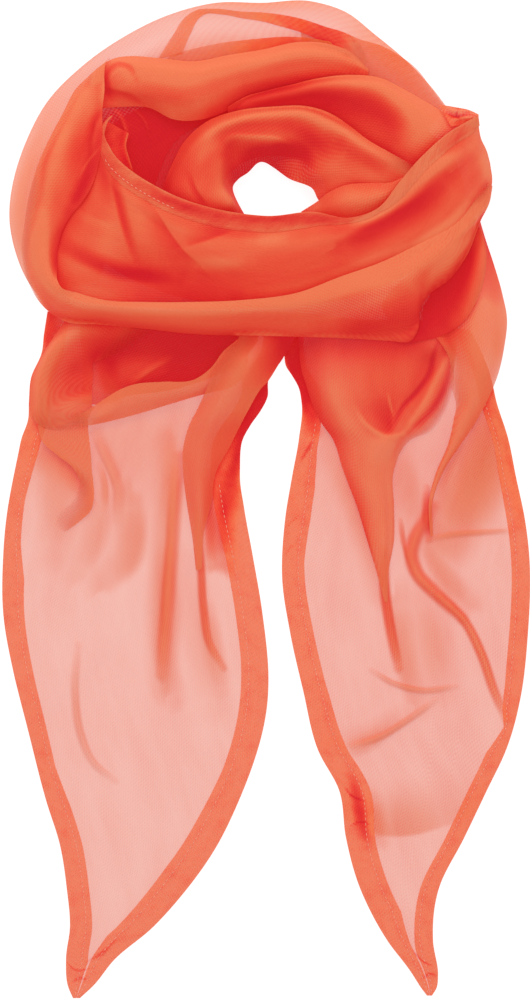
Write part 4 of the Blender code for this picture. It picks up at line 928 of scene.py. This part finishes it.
def chiffon(name, weave_bump, streaks, tones, glow):
    """Sheer crepe chiffon: it stops more light where its layers gather."""
    made = principled(name, dict(CHIFFON, **{"Emission Strength": glow}))
    tree = made.node_tree
    shader = tree.nodes["Principled BSDF"]

    def attribute(key, output):
        return add_node(tree, "ShaderNodeAttribute", {}, attribute_name=key).outputs[output]

    def number(operation, *values, clamp=False):
        inputs = dict(enumerate(values))
        return add_node(tree, "ShaderNodeMath", inputs, operation=operation, use_clamp=clamp).outputs[0]

    def vector(operation, **inputs):
        inputs = {{"a": 0, "b": 1, "scale": "Scale"}[key]: value for key, value in inputs.items()}
        return add_node(tree, "ShaderNodeVectorMath", inputs, operation=operation).outputs

    layers = attribute("layers", "Fac")
    thread = attribute("thread", "Vector")

    # weave: warp and weft as two fine waves, aslant because the cloth is cut on the bias
    waves = []
    for direction, pitch in zip(BIAS, THREAD):
        pace = [part * 2 * math.pi / pitch for part in direction]
        waves.append(number("SINE", vector("DOT_PRODUCT", a=thread, b=pace)["Value"]))
    weave = number("MULTIPLY", *waves)

    # crepe: a fine uneven grain over the weave, and slow changes of tone
    grain = add_node(tree, "ShaderNodeTexNoise", dict(GRAIN, Vector=thread), noise_dimensions="3D")
    stretched = vector("MULTIPLY", a=thread, b=streaks)["Vector"]
    slow = add_node(tree, "ShaderNodeTexNoise", dict(SLOW, Vector=stretched), noise_dimensions="3D")
    slow = slow.outputs["Fac"]
    crepe = number("MULTIPLY_ADD", weave, WEAVE_SHARE, grain.outputs["Fac"])
    wrinkled = add_node(tree, "ShaderNodeBump", dict(WRINKLES, Height=slow)).outputs["Normal"]
    relief = {"Strength": weave_bump, "Distance": WEAVE_RELIEF, "Normal": wrinkled, "Height": crepe}
    tree.links.new(add_node(tree, "ShaderNodeBump", relief).outputs["Normal"], shader.inputs["Normal"])

    # alpha = 1 - (share let through) ^ layers, a little open between the threads
    gathered = number("MULTIPLY", layers, number("MULTIPLY_ADD", slow, *LAYERS_UNEVEN))
    alpha = number("SUBTRACT", 1.0, number("POWER", LET_THROUGH, gathered))
    alpha = number("MULTIPLY_ADD", weave, OPEN_WEAVE, alpha, clamp=True)
    tree.links.new(alpha, shader.inputs["Alpha"])

    # colour: deeper where the cloth lies deep among its folds, which is painted shade, and lighter where a
    # highlight is painted
    tone = number("MULTIPLY_ADD", slow, tones, attribute("depth", "Fac"))
    tone = number("MULTIPLY_ADD", crepe, FLECK, tone)
    tone = number("SUBTRACT", tone, (tones + FLECK) / 2, clamp=True)
    colour = add_node(tree, "ShaderNodeValToRGB", {"Fac": tone})
    stops = colour.color_ramp.elements
    while len(stops) < len(TONES):
        stops.new(0.5)
    for stop, (place, tone_colour) in zip(stops, TONES):
        stop.position = place
        stop.color = tone_colour
    body = number("MINIMUM", number("MULTIPLY_ADD", layers, *BODY), 1.0)
    # times the painted shade and painted warm light of each point
    painted_lit_colour = vector("MULTIPLY", a=colour.outputs["Color"], b=attribute("painted_light", "Vector"))["Vector"]
    tree.links.new(vector("SCALE", a=painted_lit_colour, scale=body)["Vector"], shader.inputs["Base Color"])
    return made


# glow: strength of the painted red glow
CLOTH = chiffon("chiffon_cloth", weave_bump=0.35, streaks=(12.0, 45.0, 1.0), tones=0.34, glow=0.24)
HEM = chiffon("chiffon_hem", weave_bump=0.5, streaks=(90.0, 110.0, 1.0), tones=0.80, glow=0.27)
THREADS = principled("stitch_thread", STITCH_THREAD)


# ---------------------------------------------------------------- objects
def add_mesh(name, vertices, faces, finish, slot=None):
    """A mesh object; with a slot it is shaded smooth and rides the scarf's body."""
    mesh = bpy.data.meshes.new(name)
    mesh.from_pydata(vertices, [], faces)
    mesh.materials.append(finish)
    made = bpy.data.objects.new(name, mesh)
    bpy.context.scene.collection.objects.link(made)
    if slot:
        mesh.shade_smooth()
        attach(made, "root")
    return made


def sheet_object(name, grid, layers, depth, painted_light, finish, slot):
    """A sheet as one mesh, facing up, with what its material reads at each point."""
    rows, columns = grid.shape[:2]
    index = np.arange(rows * columns).reshape(rows, columns)
    quads = np.stack((index[:-1, :-1], index[1:, :-1], index[1:, 1:], index[:-1, 1:]), axis=-1)
    quads = quads.reshape(-1, 4)
    i, j = rows // 2, columns // 2 - 1
    if np.cross(grid[i, j] - grid[i - 1, j], grid[i, j] - grid[i, j - 1])[2] < 0:
        quads = quads[:, ::-1]
    made = add_mesh(name, grid.reshape(-1, 3).tolist(), quads.tolist(), finish, slot)
    thread = np.zeros(grid.shape)
    thread[..., 0] = run_of(grid, 0)
    thread[..., 1] = run_of(grid, 1)
    for key, kind, field, array in (
        ("thread", "FLOAT_VECTOR", "vector", thread), ("layers", "FLOAT", "value", layers),
        ("depth", "FLOAT", "value", depth), ("painted_light", "FLOAT_VECTOR", "vector", painted_light),
    ):
        values = made.data.attributes.new(key, kind, "POINT")
        values.data.foreach_set(field, np.ascontiguousarray(array, dtype=np.float32).reshape(-1))
    return made


HEAP = Heap()
MADE = []                       # sheets that wait for the depth of their tone


def lay(name, rows, replaces=(), layers=1.0, depth=0.0, folds=(), held="laid", rests_on=(),
        finish=CLOTH, slot="chiffon", edge=0.0, shades=(), warms=()):
    """Make one sheet, lay it on the heap, and return its points with all that goes with them."""
    grid, sheer, deep = loft(padded_rows(rows, layers, depth))
    crease(grid, folds, sheer, deep)
    grid[..., 2] = np.maximum(grid[..., 2], TAIL_HEIGHT * MILLI)
    HEAP.lift(grid)
    HEAP.add(grid)
    if edge:
        sheer += edge * np.exp(-(run_of(grid, 1) / EDGE_REACH) ** 2)
    # Painted shade along the shade lines, and painted warm light along the warm lines.
    dark = light_lines(grid, shades)
    warm = light_lines(grid, warms)
    sheer += SHADE_LAYERS * dark
    painted_light = 1 - SHADE_DARK * dark[..., None] + PAINTED_WARM_LIGHT * warm[..., None]
    MADE.append((name, grid, sheer, deep, painted_light, finish, slot, replaces, held, rests_on))
    return np.dstack((grid, sheer, deep, painted_light))


def hem_reach(cloth, run, widths):
    """A hem's width at each section of its sheet."""
    width = np.interp(np.linspace(0, 1, len(cloth)), *np.transpose(widths))[:, None]
    return np.minimum(width, run[:, -1:] * HEM_SHARE)


def bell(values, height, place, width):
    """A soft bump round one place."""
    return height * np.exp(-((values - place) / width) ** 2)


def hem_band(name, cloth, first, widths, replaces, light=TAIL_HEM_LIGHT):
    """A turned hem along the first or last edge of a laid sheet, with a painted highlight at its fold."""
    run = run_of(cloth[..., :3], 1)
    across = np.linspace(0, 1, HEM_COLUMNS)[None]
    places = across * hem_reach(cloth, run, widths)
    if not first:
        places = run[:, -1:] - places
    top, sheer, deep, painted_light = np.split(read_across(cloth, run, places), (3, 4, 5), axis=-1)
    rise = np.minimum(np.minimum(across, 1 - across) * HEM_SLOPE, 1.0)
    band = top + normals(top) * (HEM_UP * (HEM_LEAST + (1 - HEM_LEAST) * rise))[..., None]
    HEAP.add(band)
    deep = deep[..., 0] + bell(across, *HEM_SEAM) - bell(across, *HEM_FOLD_HIGHLIGHT)
    sheer = sheer[..., 0] + HEM_LAYERS
    MADE.append((name, band, sheer, deep, painted_light * light, HEM, "hem", replaces, "laid", ()))


def lay_tail(name, rows, hems, **more):
    """A tail, flat on the floor, with the hems along its left and right edges."""
    rows = [((a, b), ((a + c) / 2, (b + d) / 2), (c, d)) for a, b, c, d in rows]
    rows = [[point + (TAIL_HEIGHT,) for point in row] for row in rows]
    cloth = lay(name + "_cloth", rows, (name,), rests_on=["floor"], **more)
    hem_band(name + "_hem_l", cloth, True, hems[0], (name + "_hem_left",))
    hem_band(name + "_hem_r", cloth, False, hems[1], (name + "_hem_right",))
    return cloth


def stitches(name, cloth, first, widths, inset, part):
    """A row of small stitches along part of a hem, one mesh."""
    panel = cloth[..., :3]
    run = run_of(panel, 1)
    places = hem_reach(panel, run, widths) * inset
    line = read_across(panel, run, places if first else run[:, -1:] - places)[:, 0]
    line = line + normals(panel)[:, 2 if first else -3] * STITCH_LIFT
    steps = np.concatenate(([0.0], np.cumsum(np.linalg.norm(np.diff(line, axis=0), axis=1))))
    rise = np.array((0, 0, STITCH_WIDTH * STITCH_RISE))
    vertices, faces = [], []
    for k in range(*(int(steps[-1] * share / STITCH_PITCH) for share in part)):
        start = (k + STITCH_START) * STITCH_PITCH
        reads = (start, start + STITCH_LENGTH / 2, start + STITCH_LENGTH)
        ends = [np.array([np.interp(read, steps, line[:, a]) for a in range(3)]) for read in reads]
        along = ends[2] - ends[0]
        along /= max(np.linalg.norm(along), TINY)
        side = np.cross(along, (0, 0, 1.0))
        side *= STITCH_WIDTH / 2 / max(np.linalg.norm(side), TINY)
        base = len(vertices)
        for end, size in zip(ends, STITCH_ENDS):
            vertices += [end + side * size, end + rise * size, end - side * size, end - rise * size]
        for a in (base, base + 4):
            for b in range(4):
                c = (b + 1) % 4
                faces.append((a + b, a + c, a + 4 + c, a + 4 + b))
        faces.append((base + 3, base + 2, base + 1, base))
        faces.append((base + 8, base + 9, base + 10, base + 11))
    add_mesh(name, [tuple(v) for v in vertices], faces, THREADS, "hem")


def ring_rows():
    """The turns hidden inside the loop: one rounded ring of cloth."""
    rows = []
    for k in range(RING_STEPS + 1):
        angle = 2 * math.pi * k / RING_STEPS
        (ax, ay), (bx, by) = (
            (x + half_x * math.cos(angle), y - half_y * math.sin(angle))
            for x, y, half_x, half_y in (RING_INNER, RING_OUTER)
        )
        rows.append([(ax + (bx - ax) * t, ay + (by - ay) * t, z) for t, z in RING_SECTION])
    return rows


# From the floor up. A sheet's depth deepens its tone, much of it painted shade: most for the hidden
# turns and the pockets, which lie in hollows.
lay("inner_turns", ring_rows(), ("hidden_turns",), layers=5, depth=0.9, held="folded",
    rests_on=["floor"])
LEFT = lay_tail("left_tail", LEFT_TAIL, LEFT_TAIL_HEMS, folds=LEFT_TAIL_FOLDS, shades=LEFT_TAIL_SHADES)
# The right tail gets a little painted shade: a slightly deeper tone and more layers.
RIGHT = lay_tail("right_tail", RIGHT_TAIL, RIGHT_TAIL_HEMS, layers=1.08, depth=0.05,
                 folds=RIGHT_TAIL_FOLDS, shades=RIGHT_TAIL_SHADES)
lay("left_pocket_cloth", LEFT_POCKET, ("left_pocket",), layers=5, depth=0.8, folds=LEFT_POCKET_FOLDS,
    rests_on=["left_tail_cloth"])
lay("left_flap_cloth", LEFT_FLAP, ("left_lobe",), layers=2.2, depth=0.1, held="folded",
    rests_on=["left_tail_cloth"])
lay("left_lobe_cloth", LEFT_LOBE, ("left_lobe",), layers=2, depth=0.05, held="folded",
    rests_on=["left_tail_cloth"])
lay("left_lip_cloth", LEFT_LIP, ("left_lip",), layers=2, depth=0.1, held="folded",
    rests_on=["left_tail_cloth"])
lay("left_fold_cloth", LEFT_FOLD, ("left_fold",), layers=2, depth=0.1, held="folded",
    rests_on=["left_tail_cloth"])
lay("right_scoop_cloth", RIGHT_SCOOP, ("right_scoop",), layers=2, depth=0.15, folds=RIGHT_SCOOP_FOLDS,
    held="folded", rests_on=["right_tail_cloth"])
lay("right_side_cloth", RIGHT_SIDE, ("right_side",), layers=2.2, depth=0.05, held="folded",
    rests_on=["right_tail_cloth"])
lay("outer_turn_cloth", OUTER_TURN, ("outer_turn",), folds=OUTER_TURN_FOLDS, held="draped",
    rests_on=["inner_turns"], edge=OUTER_EDGE, warms=OUTER_TURN_WARMS)
lay("outer_second_layer", OUTER_SECOND, layers=1.2, depth=0.15, held="draped", rests_on=["outer_turn_cloth"],
    warms=OUTER_SECOND_WARMS)
lay("back_hem_band", BACK_HEM, ("back_hem",), layers=1.15, rests_on=["outer_turn_cloth"], finish=HEM,
    slot="hem", warms=BACK_HEM_WARMS)
lay("back_hem_low_band", BACK_HEM_LOW, layers=1.2, rests_on=["outer_turn_cloth"], finish=HEM, slot="hem",
    warms=BACK_HEM_LOW_WARMS)
lay("upper_roll_cloth", UPPER_ROLL, ("upper_roll",), layers=4, depth=0.10, folds=UPPER_ROLL_FOLDS,
    held="draped", rests_on=["outer_turn_cloth"])
lay("right_roll_cloth", RIGHT_ROLL, ("right_roll",), layers=4, depth=0.15, folds=RIGHT_ROLL_FOLDS,
    held="draped", rests_on=["upper_roll_cloth"])
lay("inner_ring_cloth", INNER_RING, ("inner_ring",), layers=5, depth=0.15, folds=INNER_RING_FOLDS,
    held="draped", rests_on=["inner_turns"])
lay("inner_petal_cloth", INNER_PETAL, ("inner_petal",), layers=4, depth=0.15, folds=INNER_PETAL_FOLDS,
    held="folded", rests_on=["inner_ring_cloth"])
lay("swag_pocket_cloth", SWAG_POCKET, ("swag_pocket",), layers=4, depth=0.85, held="folded",
    rests_on=["right_side_cloth"])
lay("hem_corner_band", HEM_CORNER, ("hem_corner",), layers=3, depth=0.1, folds=HEM_CORNER_FOLDS,
    held="folded", rests_on=["right_roll_cloth"], finish=HEM, slot="hem")
lay("hem_tip_band", HEM_TIP, layers=4, depth=0.3, held="folded", rests_on=["outer_turn_cloth"], finish=HEM,
    slot="hem")
FRONT = lay("front_panel_cloth", FRONT_PANEL, ("front",), layers=5, depth=0.34, folds=FRONT_FOLDS,
            held="draped", rests_on=["inner_ring_cloth"])
lay("swag_cloth", SWAG, ("front",), layers=4, depth=0.10, folds=SWAG_FOLDS, held="draped",
    rests_on=["front_panel_cloth"])
hem_band("front_hem_band", FRONT, True, FRONT_HEM_WIDTHS, ("front_hem",), FRONT_HEM_LIGHT)

# Painted shade where a point sees little sky among the folds, and a painted highlight on crests, on cloth
# thick enough to hide the floor.
LEVEL = HEAP.level(CREST_RADIUS)
for name, grid, sheer, deep, painted_light, finish, slot, replaces, held, rests_on in MADE:
    shut = 1 - HEAP.openness(grid)
    crest = np.clip((grid[..., 2] - LEVEL[HEAP.cells(grid)]) / CREST_RISE, -1, 1)
    solid = np.clip((sheer - SHEER_START) / SHEER_RANGE, 0.0, 1.0)
    gain = (shut - HOLLOW_SHADE_START) * HOLLOW_SHADE_GAIN - crest * CREST_HIGHLIGHT_GAIN
    deep = np.clip(deep + solid * gain, 0.0, 1.0)
    tilt = np.clip(1 / np.maximum(np.abs(normals(grid)[..., 2]), TILT_LEAST) - 1, 0, TILT_MOST)
    made = sheet_object(name, grid, sheer * (1 + TILT_GAIN * tilt), deep, painted_light, finish, slot)
    if replaces:
        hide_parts(*replaces)

# name, sheet, whether along its first edge, hem, share of the way along it where they start to show
for name, cloth, first, widths, start in (
    ("left_tail_stitches_l", LEFT, True, LEFT_TAIL_HEMS[0], 0.0),
    ("left_tail_stitches_r", LEFT, False, LEFT_TAIL_HEMS[1], 0.25),
    ("right_tail_stitches_l", RIGHT, True, RIGHT_TAIL_HEMS[0], 0.16),
    ("right_tail_stitches_r", RIGHT, False, RIGHT_TAIL_HEMS[1], 0.0),
):
    stitches(name, cloth, first, widths, TAIL_INSET, (start, 1.0))
stitches("front_stitches", FRONT, True, FRONT_HEM_WIDTHS, FRONT_INSET, FRONT_STITCHED)

# ---------------------------------------------------------------- floor, light and camera
FLOOR_HALF = 12.0
WHITE = (1.0, 1.0, 1.0, 1.0)
LIGHT_TABLE = {
    "Base Color": (0.30, 0.30, 0.30, 1.0),
    "Roughness": 0.9,
    "Specular IOR Level": 0.0,
    "Emission Color": WHITE,
    "Emission Strength": 0.86,
}
SKY_STRENGTH = 0.80
# Softboxes: name, place, size, power.
SOFTBOXES = (
    ("key_softbox", (-0.25, 1.5, 1.2), (1.0, 0.6), 8.0),
    ("fill_softbox", (0.5, 0.2, 1.9), (1.2, 1.2), 2.5),
)
LENS = 400
SENSOR = 36
VIEW_END = 200
FRAME_MIDDLE = (265, 500)       # plan x and y at the middle of the frame, and its height
FRAME_HEIGHT = 1000 * GRID
CORNERS = ((-1, -1), (1, -1), (1, 1), (-1, 1))

floor = add_mesh("floor", [(x * FLOOR_HALF, y * FLOOR_HALF, 0) for x, y in CORNERS], [(0, 1, 2, 3)],
                 principled("light_table", LIGHT_TABLE))

scene = bpy.context.scene
world = bpy.data.worlds.new("studio")
scene.world = world
world.use_nodes = True
world.node_tree.nodes["Background"].inputs["Color"].default_value = WHITE
world.node_tree.nodes["Background"].inputs["Strength"].default_value = SKY_STRENGTH

for name, place, size, power in SOFTBOXES:
    lamp = bpy.data.lights.new(name, "AREA")
    lamp.shape = "RECTANGLE"
    lamp.size, lamp.size_y = size
    lamp.energy = power
    softbox = bpy.data.objects.new(name, lamp)
    softbox.location = place
    softbox.rotation_mode = "QUATERNION"
    softbox.rotation_quaternion = (-Vector(place)).to_track_quat("-Z", "Y")
    softbox.visible_camera = False
    scene.collection.objects.link(softbox)

camera_data = bpy.data.cameras.new("camera")
camera_data.lens = LENS
camera_data.sensor_width = SENSOR
camera_data.clip_end = VIEW_END
camera = bpy.data.objects.new("camera", camera_data)
camera.location = (
    (FRAME_MIDDLE[0] - PLAN_MIDDLE) * GRID,
    (PLAN_FOOT - FRAME_MIDDLE[1]) * GRID,
    FRAME_HEIGHT * LENS / SENSOR,
)
scene.collection.objects.link(camera)
scene.camera = camera

scene.view_settings.view_transform = "Standard"
scene.cycles.transparent_max_bounces = 32
scene.cycles.max_bounces = 12
scene.cycles.diffuse_bounces = 6
